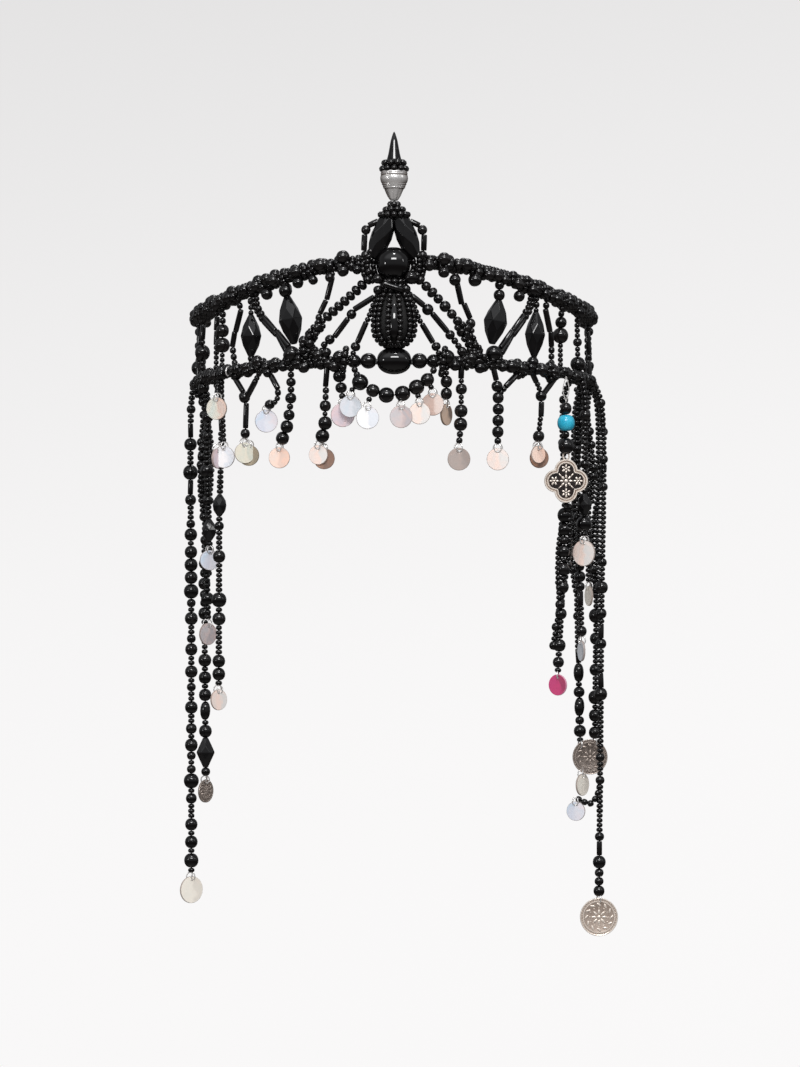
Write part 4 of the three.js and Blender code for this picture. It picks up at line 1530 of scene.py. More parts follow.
def on_ring(x: float, y: float, height: float, turn: float, radius: float, depth: float) -> Vector:
    """A point on a level ring that may be flattened from front to back.

    Args:
        x: the ring's middle.
        y: the ring's middle.
        height: the ring's height.
        turn: where on it, from the front towards the right.
        radius: half its width.
        depth: share of the width that its depth has.

    Returns:
        The point.
    """
    return Vector((x + radius * math.sin(turn), y - radius * depth * math.cos(turn), height))


@dataclass
class Crest:
    """The spire over the centre: spike, collar, silver cup, cluster, two cut beads and their frames.

    spike and cup are outlines by radius and height, collar is rings of beads by height, radius and count, and
    cluster has the depth share of each ring as well. frame_rows are the x and z that a frame passes. The
    cup's tone is a painted highlight: cup_side at its sides, cup_front more at its front and back, groove
    less in its grooves.
    """

    x: float = 0.2
    y: float = -101.0
    spike: tuple[Pair, ...] = ((0, 82.3), (2.4, 82.3), (2.8, 84), (3.05, 86.5), (2.95, 87.6), (2.4, 89.7),
                               (2.1, 91.4), (1.72, 93.6), (1.42, 95.2), (0.9, 97), (0.5, 98.2), (0.28, 98.7),
                               (0, 98.9))
    cup: tuple[Pair, ...] = (
        (0, 70.3), (1.5, 70.3), (1.9, 70.7), (2.7, 71.9), (3.4, 73.3), (3.9, 74.6), (4.15, 75.3), (4.5, 75.4),
        (4.6, 75.7), (4.4, 75.95), (4.7, 76.1), (4.85, 76.4), (4.65, 76.65), (5.0, 76.8), (5.2, 77.1),
        (5.0, 77.4), (5.35, 77.7), (5.65, 78.5), (5.78, 79.4), (5.7, 80.3), (5.45, 81.1), (5.6, 81.25),
        (5.65, 81.55), (5.4, 81.75), (5.5, 81.95), (5.5, 82.3), (5.2, 82.7), (4.5, 82.7), (4.4, 81.9),
        (0, 81.9))
    fluted_below: float = 75.2
    flutes: int = 7
    press: float = 0.16
    press_height: float = 2.0
    collar: tuple[tuple[float, float, int], ...] = ((83.5, 4.9, 11), (85.9, 4.0, 9))
    cluster: tuple[tuple[float, float, int, float], ...] = (
        (64.4, 5.6, 13, 0.62), (66.5, 3.6, 9, 0.7), (68.7, 1.5, 4, 1.0), (64.0, 2.8, 7, 0.62),
        (66.2, 1.2, 3, 1.0))
    cut_top: Pair = (1.7, 64.4)
    cut_foot: Pair = (8.7, 46.6)
    cut_across: float = 9.3
    cut_tip: float = 0.52
    grooves: tuple[float, ...] = (75.3, 75.95, 76.65, 77.4, 81.1, 81.75)
    groove_width: float = 0.04
    cup_side: float = 0.16
    # painted highlight: how much brighter the cup's tone is at its front and back
    cup_front: float = 0.5
    groove: float = 0.3
    frame_rows: tuple[Pair, ...] = ((4.6, 62.6), (9.4, 60.4), (11.5, 58.6), (12.4, 51.6), (11.4, 45.6))

    def build(self) -> None:
        """Makes the whole spire."""
        self._spike()
        self._cup()
        self._rings("spike_collar_beads", [(z, r, n, 1.0) for z, r, n in self.collar], "p", "spike_collar")
        self._rings("crest_cluster_beads", self.cluster, "p", "crest_cluster")
        for side in Side:
            self._half(side)

    def _spike(self) -> None:
        """The turned spike at the top."""
        work = Beadwork("spike_horn")
        form = keep_form(turned(self.spike, 32), "spike_horn_form", smooth=True)
        work.place(form, Matrix.Translation((self.x, self.y, 0)), Paint.JET, 0.15)
        work.publish("jet", "spike")

    def _polish(self, corner: Vector) -> float:
        """The tone of the cup at one corner, with its painted highlight.

        Args:
            corner: its place.

        Returns:
            The tone, a painted highlight that is brightest at the front and the back, and less in the
            grooves.
        """
        # Painted highlight: the tone rises where the cup faces the front or the back.
        facing = abs(math.cos(math.atan2(corner.x, -corner.y)))
        grooved = any(abs(corner.z - groove) < self.groove_width for groove in self.grooves)
        return self.cup_side + self.cup_front * facing - self.groove * grooved

    def _cup(self) -> None:
        """The silver cup, with petals pressed into its foot."""
        body = turned(self.cup, 56)
        foot = self.cup[0][1]
        for corner in body.verts:
            below = self.fluted_below - corner.co.z
            if below > 0 and corner.co.z > foot:
                turn = math.atan2(corner.co.y, corner.co.x)
                petal = 1 - abs(math.sin(self.flutes * turn / 2))
                press = 1 - self.press * min(below / self.press_height, 1) * petal
                corner.co.x *= press
                corner.co.y *= press
        form = keep_form(body, "silver_cup_form", smooth=True)
        # Paints the highlight into the cup's tone.
        shade(form, self._polish)
        work = Beadwork("silver_cup_turned")
        work.place(form, Matrix.Translation((self.x, self.y, 0)), Paint.SILVER)
        work.publish("silver", "silver_cup")

    def _rings(self, name: str, rows: Sequence[tuple[float, float, int, float]], letter: str,
               node: str) -> None:
        """Level rings of beads round the spire.

        Args:
            name: the piece's name.
            rows: height, radius, count and depth share of each ring.
            letter: the sort of bead.
            node: the CAD node that it replaces.
        """
        work = Beadwork(name)
        for number, (height, radius, count, depth) in enumerate(rows):
            for step in range(count):
                turn = math.tau * (step + 0.5 * (number % 2)) / count
                centre = on_ring(self.x, self.y, height, turn, radius, depth)
                work.bead(SORTS[letter], centre, Vector((math.cos(turn), math.sin(turn), 0.2)), 0.95, 8)
        work.publish("jet", node)

    def _half(self, side: Side) -> None:
        """The cut bead and the frame of one side.

        Args:
            side: the side of the spire.
        """
        top, foot, *frame = [Vector((self.x + side.value * x, self.y, z))
                             for x, z in (self.cut_top, self.cut_foot, *self.frame_rows)]
        work = Beadwork(f"crest_bead_{side.word}_cut")
        UprightBeads.stand(work, foot, top, self.cut_across, self.cut_tip)
        work.publish("cut_jet", f"crest_bead_{side.word}")
        work = Beadwork(f"crest_frame_{side.word}_beads")
        work.string(Route.through(frame), chart("s c e b e"))
        work.publish("jet", f"crest_frame_{side.word}")


@dataclass
class Centre:
    """The beaded body: its head bead, the bead inside the cage of seeds, and the oval bead below.

    cage and inner are outlines by radius and height, both flattened to the depth share, and slot is how far
    the cage opens at the front, in degrees. neck is rings of beads by height, radius and count, arcs are the
    rows beside the head bead by radius, how far they stand back and half their span, and loose are beads by
    x, z and letter. The lens is the polished front of the inner bead.
    """

    x: float = 0.2
    y: float = -103.0
    head: Vector = field(default_factory=lambda: Vector((-0.1, -102.5, 43.7)))
    head_across: float = 14.2
    cage: tuple[Pair, ...] = ((2.6, 9.6), (5.2, 10.6), (8.0, 13.8), (8.8, 18.4), (8.4, 23.5), (6.9, 29.5),
                              (4.6, 33.6))
    meridians: int = 13
    slot: float = 15.0
    depth: float = 0.8
    inner: tuple[Pair, ...] = ((0, 9.4), (2.2, 9.6), (4.6, 10.9), (6.9, 13.6), (7.8, 16.4), (8.1, 19.2),
                               (7.8, 22.6), (6.9, 26.4), (5.5, 30.2), (3.9, 33.2), (2.0, 34.8), (0, 35.2))
    neck: tuple[tuple[float, float, int], ...] = ((34.4, 4.7, 12), (36.5, 4.2, 11))
    neck_depth: float = 0.7
    neck_spread: float = 0.3
    loose: tuple[tuple[float, float, str], ...] = (
        (-6.5, 32.8, "e"), (5.1, 33.2, "e"), (7.2, 38.0, "g"), (-6.6, 37.4, "e"))
    loose_out: float = 2.6
    arcs: tuple[tuple[float, float, float], ...] = (
        (8.4, 1.6, 52), (8.5, 4.4, 58), (10.8, 0.4, 40), (13.0, 1.6, 28))
    arc_middle: float = -4.0
    arc_sway: float = 0.3
    core: float = 1.3
    core_back: float = 1.2
    lens_long: float = 15.6
    lens_across: float = 5.2
    lens_z: float = 20.6
    lens_lean: float = 12.0
    lens_out: float = 5.0
    oval: Vector = field(default_factory=lambda: Vector((0.2, -102, 3.7)))
    oval_across: float = 11.3
    oval_long: float = 14.1
    bugle: tuple[tuple[float, float, float], ...] = ((-4.8, -108.9, 35.4), (4, -108.9, 32.8))

    def build(self) -> None:
        """Makes the body and the beads over and under it."""
        self._large("head_bead_round", self.head_across, self.head_across, self.head, UP, "head_bead")
        self._large("centre_oval_bead_round", self.oval_long, self.oval_across, self.oval, Vector((1, 0, 0)),
                    "centre_oval_bead")
        self._body_bead()
        self._cage()
        for side in Side:
            self._cluster(side)
        work = Beadwork("neck_bugle_tube")
        work.string(Route.through([Vector(end) for end in self.bugle]), chart("b"))
        work.publish("jet", "neck_bugle")

    def _body_bead(self) -> None:
        """The bead inside the cage, with its polished front."""
        work = Beadwork("body_bead_oval")
        form = keep_form(turned(self.inner, 32), "body_bead_form", smooth=True)
        place = Matrix.Translation((self.x, self.y, 0)) @ Matrix.Diagonal((1, self.depth, 1, 1))
        work.place(form, place, Paint.THREAD, 0.4)
        lens = turned(rounded(self.lens_long, self.lens_across, 2.0, 18, BORE), 24, hollow=True)
        spot = Matrix.Translation((self.x, self.y - self.lens_out, self.lens_z))
        lean = Matrix.Rotation(-math.radians(self.lens_lean), 4, "X")
        work.place(keep_form(lens, "body_lens_form", smooth=True), spot @ lean, Paint.JET, 0.1)
        work.publish("jet", "body_bead")

    @staticmethod
    def _large(name: str, long: float, across: float, centre: Vector, along: Vector, node: str) -> None:
        """A large smooth bead.

        Args:
            name: the piece's name.
            long: its length along its hole.
            across: its width.
            centre: its middle.
            along: the way of its hole.
            node: the CAD node that it replaces.
        """
        body = turned(rounded(long, across, 2.1, 22, 0.7), 40, hollow=True)
        work = Beadwork(name)
        form = keep_form(body, f"{name}_form", smooth=True)
        work.place(form, Matrix.LocRotScale(centre, along.to_track_quat("Z", "Y"), None), Paint.JET, 0.05)
        work.publish("jet", node)

    def _cage(self) -> None:
        """Rows of seed beads over the body bead, with a slot at the front where it shows."""
        work = Beadwork("body_cage_beads")
        for number in range(self.meridians):
            turn = math.tau * (number + 0.5) / self.meridians
            rows = []
            for step, (radius, z) in enumerate(self.cage):
                opening = math.sin(math.pi * step / (len(self.cage) - 1)) * math.radians(self.slot)
                bowed = turn + opening * math.sin(turn) * max(math.cos(turn), 0)
                around = Vector((math.sin(bowed), -math.cos(bowed) * self.depth, 0))
                rows.append(Vector((self.x, self.y, z)) + around * (radius - 0.1))
            work.string(Route.through(rows), chart("14q"))
        for height, radius, count in self.neck:
            for step in range(count):
                turn = math.tau * (step + work.chance.random() * self.neck_spread) / count
                centre = on_ring(self.x, self.y, height, turn, radius, self.neck_depth)
                work.bead(SORTS["p"], centre, Vector((math.cos(turn), math.sin(turn), 0.3)), lean=15)
        for x, z, letter in self.loose:
            work.bead(SORTS[letter], Vector((x, self.y - self.loose_out, z)), UP, lean=20)
        work.publish("jet", "body_cage")

    def _cluster(self, side: Side) -> None:
        """The seed beads that hold the head bead from one side.

        Args:
            side: the side of the bead.
        """
        work = Beadwork(f"head_cluster_{side.word}_beads")
        for radius, out, span in self.arcs:
            turns = [math.radians(self.arc_middle + span * (step / 8 - 0.5) * 2) for step in range(9)]
            reach = [radius + work.chance.uniform(-self.arc_sway, self.arc_sway) for _ in turns]
            line = Route([self.head + Vector((side.value * r * math.cos(turn), out, r * math.sin(turn)))
                          for turn, r in zip(turns, reach)])
            work.string(line, work.mixed(line.length, FINE))
            core = Route([point + Vector((0, self.core_back, 0)) for point in line.points])
            work.thread(core, self.core, Paint.THREAD)
        work.publish("jet", f"head_cluster_{side.word}")


@dataclass(frozen=True)
class Leg:
    """One leg: the x and z that it passes, its beads, and its strut to the upper rope.

    The foot of a leg with a strut is wound with a few strands, and any other foot stands on a knot of beads.
    """

    name: str
    rows: tuple[Pair, ...]
    beads: str
    strut: tuple[Pair, ...] = ()
    strut_beads: str = ""
    out: float = 1.0
    wound: int = 3
    wound_radius: Pair = (1.5, 2.3)
    wound_pitch: float = 16.0
    knot: float = 1.7
    knot_beads: int = 9

    def build(self) -> None:
        """Makes the leg, thickened by seed strands where it meets the lower rope."""
        work = Beadwork(f"leg_{self.name}_beads")
        line = [on_band(x, z, self.out) for x, z in self.rows]
        work.string(Route.through(line), chart(self.beads))
        if self.strut:
            strut = Route.through([on_band(x, z, self.out) for x, z in self.strut])
            work.string(strut, chart(self.strut_beads))
            foot = Route.through(line[2:])
            for number in range(self.wound):
                wound = foot.wound(self.wound_radius, number / self.wound, self.wound_pitch)
                work.string(wound, work.mixed(wound.length, WOUND), None)
        else:
            work.bunch(line[-1], self.knot, self.knot_beads)
        work.publish("jet", f"leg_{self.name}")


LEGS = (
    Leg("left_1", ((-9.5, 38.5), (-19.4, 29.4), (-29.8, 20.1), (-35.5, 12.5), (-38.6, 4)),
        "8k s e 2s e 2s e s", ((-25.3, 41), (-27.4, 31.4), (-31, 22.7), (-33.4, 15)), "s B b p s"),
    Leg("left_2", ((-6, 31), (-14.9, 25.8), (-24.4, 14.5), (-29, 10.5), (-30.6, 4)), "s B e B e 3p"),
    Leg("left_3", ((-7.4, 29.6), (-11, 20.3), (-15.4, 10.8), (-17.8, 4)), "6q B e 2q"),
    Leg("right_1", ((9.8, 38.5), (19.4, 28.6), (27.2, 19.6), (32, 12), (36.4, 4)),
        "k e k e m e e 2s e 2s e", ((26, 40), (27.2, 32.6), (31.2, 23), (32.8, 15.5)), "s B b e s"),
    Leg("right_2", ((6, 32), (13.4, 25.8), (21.5, 17), (28, 8.4), (29.6, 4)), "s b m B e 4p"),
    Leg("right_3", ((7.6, 29), (11.4, 19.4), (17.9, 9.2), (19.4, 4)), "6q B e 2q"),
)

Hung = tuple[Pair, float, float, Tint]


@dataclass(frozen=True)
class Drop:
    """A short drop: the x and z that it passes, its beads, a side branch and its discs."""

    name: str
    out: float
    rows: tuple[Pair, ...]
    beads: str
    discs: tuple[Hung, ...]
    branch: tuple[Pair, ...] = ()
    branch_beads: str = ""
    apart: float = 1.9

    def lay(self, rows: Sequence[Pair]) -> list[Vector]:
        """Points on the band, the first on the rope itself."""
        return [on_band(x, z, 0 if number == 0 else self.out) for number, (x, z) in enumerate(rows)]

    def build(self) -> None:
        """Makes the drop with its discs."""
        node = f"drop_{self.name}"
        hung = [Pendant(on_band(x, z, self.out - number * self.apart), across, turn, tint)
                for number, ((x, z), across, turn, tint) in enumerate(self.discs)]
        work = Beadwork(f"{node}_beads")
        foot = hung[0].strand_end
        work.string(Route.through([*self.lay(self.rows), foot]), chart(self.beads))
        if self.branch:
            work.string(Route.through(self.lay(self.branch)), chart(self.branch_beads))
        for pendant in hung[1:]:
            work.thread(Route([foot, pendant.strand_end]), THREAD, Paint.CLEAR_THREAD)
        work.publish("jet", node)
        for number, pendant in enumerate(hung, 1):
            pendant.build(f"{node}_{number}", node)


DROPS = (
    Drop("left_1", 0, ((-23.2, 2),), "s g m p", (((-21.2, -18.7), 10, 8, Tint.LILAC),)),
    Drop("left_2", 0, ((-27.8, 3), (-28.6, -17), (-29, -26)), "B p m s g g",
         (((-31.4, -35.2), 8.2, -16, Tint.PEACH_WHITE), ((-29.0, -36.8), 8.8, 4, Tint.BROWN))),
    Drop("left_3", 0, ((-43, 2.4), (-43.3, -14), (-45.6, -26)), "3p e p m p m g g",
         (((-48, -36.2), 8.9, -5, Tint.PEACH),)),
    Drop("left_4", 0, ((-53.4, 2), (-48.6, -8.6), (-49.4, -12.4)), "s b p s e",
         (((-53.6, -20.7), 9.6, 6, Tint.SKY),)),
    Drop("left_5", 0, ((-68.4, 0), (-62.9, -11.4), (-62.6, -20)), "B m B e",
         (((-63, -33.9), 8.9, 12, Tint.CREAM), ((-61.4, -34.9), 8.9, -10, Tint.OLIVE)),
         ((-56.4, 0), (-62.6, -11.2)), "2s B"),
    Drop("left_6", 4.6, ((-74.6, -1),), "3s", (((-75.4, -14.8), 9.6, -24, Tint.OPAL),)),
    Drop("left_7", 1.2, ((-73.4, -0.6), (-73.4, -8)), "6s p 5s",
         (((-72.4, -35.4), 9.4, -10, Tint.WHITE), ((-75.2, -36), 8.6, 62, Tint.LILAC)), apart=-2.4),
    Drop("right_1", 0, ((22, 2),), "2s m m", (((21.9, -18.5), 9.1, 60, Tint.HAZEL),)),
    Drop("right_2", 0, ((28.2, 3), (28.1, -16), (27.6, -27)), "b s m s g g p",
         (((27.2, -37), 9.5, 5, Tint.TAUPE),)),
    Drop("right_3", 0, ((41.6, 2.4), (43.6, -9), (43.6, -26)), "b m m p m m m p",
         (((43.6, -36.9), 9.3, -4, Tint.PEACH_WHITE),), ((53, 0.4), (44.4, -9.6)), "B s"),
    Drop("right_4", 0, ((57.8, 1), (62.3, -9.6), (61.4, -25)), "b s m b s m",
         (((61.0, -34.6), 7.4, 36, Tint.PEACH), ((61.6, -36), 8.6, 22, Tint.BROWN)),
         ((69, -1), (63, -9.8)), "B"),
)


@dataclass
class Swag:
    """The string of rounds under the centre, with five discs."""

    rows: tuple[Pair, ...] = ((-16.6, 1), (-13.9, -5.2), (-8.6, -8.7), (-3, -10.6), (3.7, -9.9), (9.5, -7.3),
                              (14, -4.2), (17.4, 1))
    beads: str = "xgxxxg"
    ends: str = "3p"
    out: float = 3.0
    discs: tuple[tuple[Pair, float, float, float, Tint], ...] = (
        ((-17.9, -15.2), 9.2, -8, 2.6, Tint.BLUE_GREY),
        ((-10.8, -20), 9.5, 4, 4.6, Tint.WHITE),
        ((3.1, -19.6), 9.4, -3, 4.6, Tint.GREY_PINK),
        ((10.7, -18.2), 9.1, 8, 4.6, Tint.PEACH_WHITE),
        ((16.2, -14.4), 9.4, -6, 2.6, Tint.ROSE_TAUPE),
    )

    def build(self) -> None:
        """Makes the swag and its discs."""
        tied = [on_band(x, z, self.out) for x, z in self.rows]
        line = Route.through(tied)
        work = Beadwork("brow_swag_beads")
        for spot, letter, before, after in zip(tied[1:], self.beads, tied, tied[2:]):
            work.bead(SORTS[letter], spot, (after - before).normalized())
        for pair in (tied[:2], tied[-2:]):
            work.string(Route.through(pair), chart(self.ends))
        work.thread(line, THREAD, Paint.THREAD)
        hung = [Pendant(on_band(x, z, out), across, turn, tint)
                for (x, z), across, turn, out, tint in self.discs]
        for pendant in hung:
            tie = min(line.points, key=lambda point: (point - pendant.strand_end).length)
            work.string(Route([tie, pendant.strand_end]), chart("2s"), Paint.CLEAR_THREAD)
        work.publish("jet", "brow_swag")
        for number, pendant in enumerate(hung, 1):
            pendant.build(f"brow_swag_{number}", "brow_swag")


TIE_DROP = 8.0
TIE_OUT = 2.4


def hanging_line(x: float, y: float, end: Vector) -> Route:
    """The line of a long strand, from its tie on the lower rope to its end.

    Args:
        x: where it hangs.
        y: where it hangs.
        end: where it meets its ring.

    Returns:
        The line.
    """
    angle = math.degrees(math.atan2(x / LOWER.half_width, -y / LOWER.half_depth))
    tie = LOWER.point(angle)
    over = tie + Vector((tie.x, tie.y, 0)).normalized() * TIE_OUT
    middle = Vector((x, y, (tie.z + end.z) / 2))
    return Route.through([over, Vector((x, y, tie.z - TIE_DROP)), middle, end], 40)


Twist = tuple[float, float, float]
TWIST_REACH = 2.3
TWIST_PITCH = 95


def twist(work: Beadwork, line: Route, twists: Iterable[Twist]) -> None:
    """Winds thin strands loosely round a long one.

    Args:
        work: the piece.
        line: the long strand's line.
        twists: shares of its length where each thin strand starts and ends, and its turn round the line.
    """
    for start, end, phase in twists:
        kept = [point for point, mark in zip(line.points, line.marks) if start <= mark / line.length <= end]
        wound = Route(kept).wound((TWIST_REACH, TWIST_REACH), phase, TWIST_PITCH)
        work.string(wound, work.mixed(wound.length, LOOSE))


@dataclass(frozen=True)
class LongStrand:
    """A long strand at a temple: where it hangs, its beads and the disc at its end."""

    name: str
    at: Pair
    beads: str
    disc: tuple[float, float, float]
    across: float
    turn: float
    tint: Tint | Paint
    twists: tuple[Twist, ...] = ()

    def build(self) -> None:
        """Makes the strand, the shorter strands twisted round it, and its disc."""
        node = f"strand_{self.name}"
        pendant = Pendant(Vector(self.disc), self.across, self.turn, self.tint)
        work = Beadwork(f"{node}_beads")
        line = hanging_line(*self.at, pendant.strand_end)
        work.string(line, strand_chart(self.beads))
        twist(work, line, self.twists)
        work.publish("jet", node)
        pendant.build(node, node, "coin_metal" if isinstance(self.tint, Paint) else "shell")


LONG_STRANDS = (
    LongStrand("left_outer", (-89.3, 2),
               "p 2s p 2s e 2s p b g 3s x b m 3s e 2s g 2s g s g g p p x e p g p s e g p p g s e p p g s p "
               "m p p g e p p e s x s p m s p s g p g s x p", (-89.3, 2, -224.9), 11.8, 38, Tint.PALE),
    LongStrand("left_inner", (-74.9, -46),
               "6s p 2s b p 3s e 3s p 2s p f s e 4s g 3s p p p p x s g p s p 2s p g g p",
               (-75.1, -46, -139.3), 9, 44, Tint.PEACH_WHITE),
    LongStrand("left_front", (-80.9, -31), "s m 4s m 3s e 5s g 4s e 3s f p p", (-79.6, -31, -79.5), 8.8, 15,
               Tint.SKY),
    LongStrand("left_back", (-82.4, -14), "8s e 8s m 6s g 6s m 5s e 4s g 3s", (-81.2, -14, -111.9), 9.6, 43,
               Tint.GREY_PINK, ((0.02, 0.55, 0.1), (0.02, 0.6, 0.6))),
    LongStrand("left_rear", (-84.4, 20),
               "6s e 8s m 7s e 8s m 6s e 4s m e g e e g 3s m 5s g p p g p g l p g F e",
               (-83.8, 20, -182.6), 10.2, 55, Paint.DARK_COIN, ((0.02, 0.5, 0.7),)),
    LongStrand("right_brow", (81.9, -44), "9s m 8s e 6s f x s", (81.6, -44, -76.4), 11.2, -36,
               Tint.PEACH_WHITE),
    LongStrand("right_thin", (84.6, -18), "12s p 12s p 12s p 3s", (84.9, -18, -95.2), 8.7, -72, Tint.PALE,
               ((0.02, 0.62, 0.1),)),
    LongStrand("right_middle", (79.8, -33), "14s e 12s m 8s e m e b 2s p s m", (81, -33, -118.7), 9, -75,
               Tint.BLUE_GREY, ((0.02, 0.45, 0.4),)),
)


@dataclass(frozen=True)
class Domes:
    """A ring of equal raised domes: how many there are, and how far from the middle.

    size is their half widths across, outwards and up, skew is their turn off the outward line in degrees, and
    tone is their own tone.
    """

    count: int
    reach: float
    size: tuple[float, float, float]
    skew: float = 0.0
    tone: float = 0.9

    def lay(self, work: Beadwork, face: Matrix, paint: Paint, scale: float = 1.0) -> None:
        """Puts the domes on a face.

        Args:
            work: the piece.
            face: the face's middle, rising along +Z.
            paint: their finish.
            scale: what their distance from the middle is a share of.
        """
        skewed = Matrix.Rotation(math.radians(self.skew), 4, "Z")
        for step in range(self.count):
            around = Matrix.Rotation(math.tau * step / self.count, 4, "Z")
            spot = face @ around @ Matrix.Translation((0, scale * self.reach, 0)) @ skewed
            work.place(dome_form(), spot @ Matrix.Diagonal((*self.size, 1)), paint, self.tone)


@dataclass(frozen=True)
class Coin:
    """A cast coin with generic relief: a beaded border, a wreath of leaves and a rosette.

    outline is by share of the radius and of half the thickness, and field is the share of the flat field.
    """

    across: float
    thick: float = 1.1
    paint: Paint = Paint.COIN
    field: float = 0.62
    outline: tuple[Pair, ...] = ((0, 0.62), (0.8, 0.62), (0.83, 0.9), (0.86, 0.62), (0.93, 0.62), (0.955, 1),
                                 (0.99, 1), (1, 0.8))
    raised: float = 0.8
    tones: Pair = (0.3, 0.9)
    domes: tuple[Domes, ...] = (
        Domes(44, 0.895, (0.2, 0.2, 0.22)),
        Domes(12, 0.66, (0.5, 1.2, 0.3), 52),
        Domes(12, 0.5, (0.3, 0.3, 0.26)),
        Domes(8, 0.27, (0.52, 1.15, 0.3)),
        Domes(8, 0.42, (0.26, 0.26, 0.26)),
        Domes(1, 0, (0.8, 0.8, 0.42)),
    )

    def relief(self, work: Beadwork, place: Matrix) -> None:
        """Puts the coin and its relief in place.

        Args:
            work: the piece that it belongs to.
            place: the coin's middle, facing -Y.
        """
        radius, half = self.across / 2, self.thick / 2
        outline = [(radius * out, half * up) for out, up in self.outline]
        mirrored = [(r, -z) for r, z in reversed(outline)]
        form = keep_form(turned(outline + mirrored, 56), f"{work.name}_blank", smooth=True)
        shade(form, lambda corner: self.tones[abs(corner.z) > half * self.raised])
        upright = Matrix.Rotation(math.pi / 2, 4, "X")
        work.place(form, place @ upright, self.paint)
        for facing in (0, math.pi):
            ground = Matrix.Translation((0, -half * self.field, 0))
            face = place @ Matrix.Rotation(facing, 4, "Z") @ ground @ upright
            for ring in self.domes:
                ring.lay(work, face, self.paint, radius)


@dataclass
class Coins:
    """The large coin, the connector coin with its leaf disc, the pink disc and the strands that hold them.

    Each link has its name, the x and y where it hangs, where its ring stands from the connector's middle, and
    its beads.
    """

    large: Vector = field(default_factory=lambda: Vector((90, -4, -236.4)))
    large_across: float = 16.7
    connector: Vector = field(default_factory=lambda: Vector((87.2, 20, -167.4)))
    connector_across: float = 15.6
    leaf: Vector = field(default_factory=lambda: Vector((83.8, 20, -179.8)))
    leaf_across: float = 9.8
    leaf_turn: float = 54
    pink: Vector = field(default_factory=lambda: Vector((70.3, -47, -132.9)))
    pink_across: float = 9.1
    pink_turn: float = -36
    pink_strand: Pair = (73.3, -47)
    outer_shift: float = 0.9
    links: tuple[tuple[str, Pair, Pair, str], ...] = (
        ("right_link_front", (81.5, 26), (-4.4, 4.3),
         "12s e 11s e 10s m 11s e 6s b l 2s m l e g p"),
        ("right_link_back", (90, 16), (2.2, 5.7),
         "10s p 9s e 10s p 8s e 4s x 4s x 4s g 5s g 3s x s g s g"),
    )
    branch: tuple[Pair, ...] = ((90.6, -178), (88.6, -184), (86, -186.6), (83, -185.6))

    def build(self) -> None:
        """Makes the coins and their strands."""
        self._large_coin()
        self._connector()
        self._pink()

    def _large_coin(self) -> None:
        """The large coin with the outermost strand and its branch."""
        work = Beadwork("large_coin_relief")
        Coin(self.large_across).relief(work, Matrix.Translation(self.large))
        work.publish("coin_metal", "large_coin")
        centre = self.large + UP * (self.large_across / 2 - DISC.inset + HELD_RING.lift)
        HELD_RING.build("strand_right_outer_ring", centre, 0, "strand_right_outer")
        strand = Beadwork("strand_right_outer_beads")
        end = centre + UP * HELD_RING.strand_lift
        strand.string(hanging_line(self.large.x + self.outer_shift, self.large.y, end), strand_chart(
            "5s e 12s e 5s e 14s e s p s g s p s m s b m 3s p 2s b g 10s p s e 2s p e 10s e b g e e m"))
        shell = Pendant(Vector((79.9, -4, -189.9)), 8.5, -20, Tint.SKY)
        rows = [Vector((x, self.large.y, z)) for x, z in self.branch]
        strand.string(Route.through([*rows, shell.strand_end]), chart("6p"))
        strand.publish("jet", "strand_right_outer")
        shell.build("strand_right_outer_branch", "strand_right_outer")

    def _connector(self) -> None:
        """The dark coin where two strands meet, and the leaf disc under it."""
        work = Beadwork("connector_coin_relief")
        Coin(self.connector_across, paint=Paint.DARK_COIN).relief(work, Matrix.Translation(self.connector))
        leaf = Pendant(self.leaf, self.leaf_across, self.leaf_turn, Tint.PALE)
        work.thread(Route([leaf.strand_end + Vector((0.6, 0, 2)), leaf.strand_end]), 0.4, Paint.CLEAR_THREAD)
        work.publish("coin_metal", "connector_coin")
        leaf.build("connector_coin_leaf", "connector_coin")
        for name, (x, y), (across, up), beads in self.links:
            centre = self.connector + Vector((across, 0, up + HELD_RING.lift))
            HELD_RING.build(f"strand_{name}_ring", centre, 0, f"strand_{name}")
            strand = Beadwork(f"strand_{name}_beads")
            line = hanging_line(x, y, centre + UP * HELD_RING.strand_lift)
            strand.string(line, strand_chart(beads))
            twist(strand, line, ((0.02, 0.6, 0.25),))
            strand.publish("jet", f"strand_{name}")

    def _pink(self) -> None:
        """The dyed disc and the front strand that ends in it."""
        disc = Beadwork("pink_disc_shell")
        turn = Matrix.Rotation(math.radians(self.pink_turn), 4, "Z")
        disc.place(disc_form(self.pink_across), Matrix.Translation(self.pink) @ turn, Paint.PINK)
        disc.publish("pink_shell", "pink_disc")
        centre = self.pink + UP * (self.pink_across / 2 - DISC.inset + HELD_RING.lift)
        HELD_RING.build("strand_right_front_ring", centre, self.pink_turn, "strand_right_front")
        strand = Beadwork("strand_right_front_beads")
        line = hanging_line(*self.pink_strand, centre + UP * HELD_RING.strand_lift)
        strand.string(line, strand_chart("8s e 8s e 7s m 2s x s x g e g s g s g p 2s m 2s p s g p m p"))
        twist(strand, line, ((0.42, 0.93, 0.3), (0.48, 0.8, 0.8)))
        strand.publish("jet", "strand_right_front")


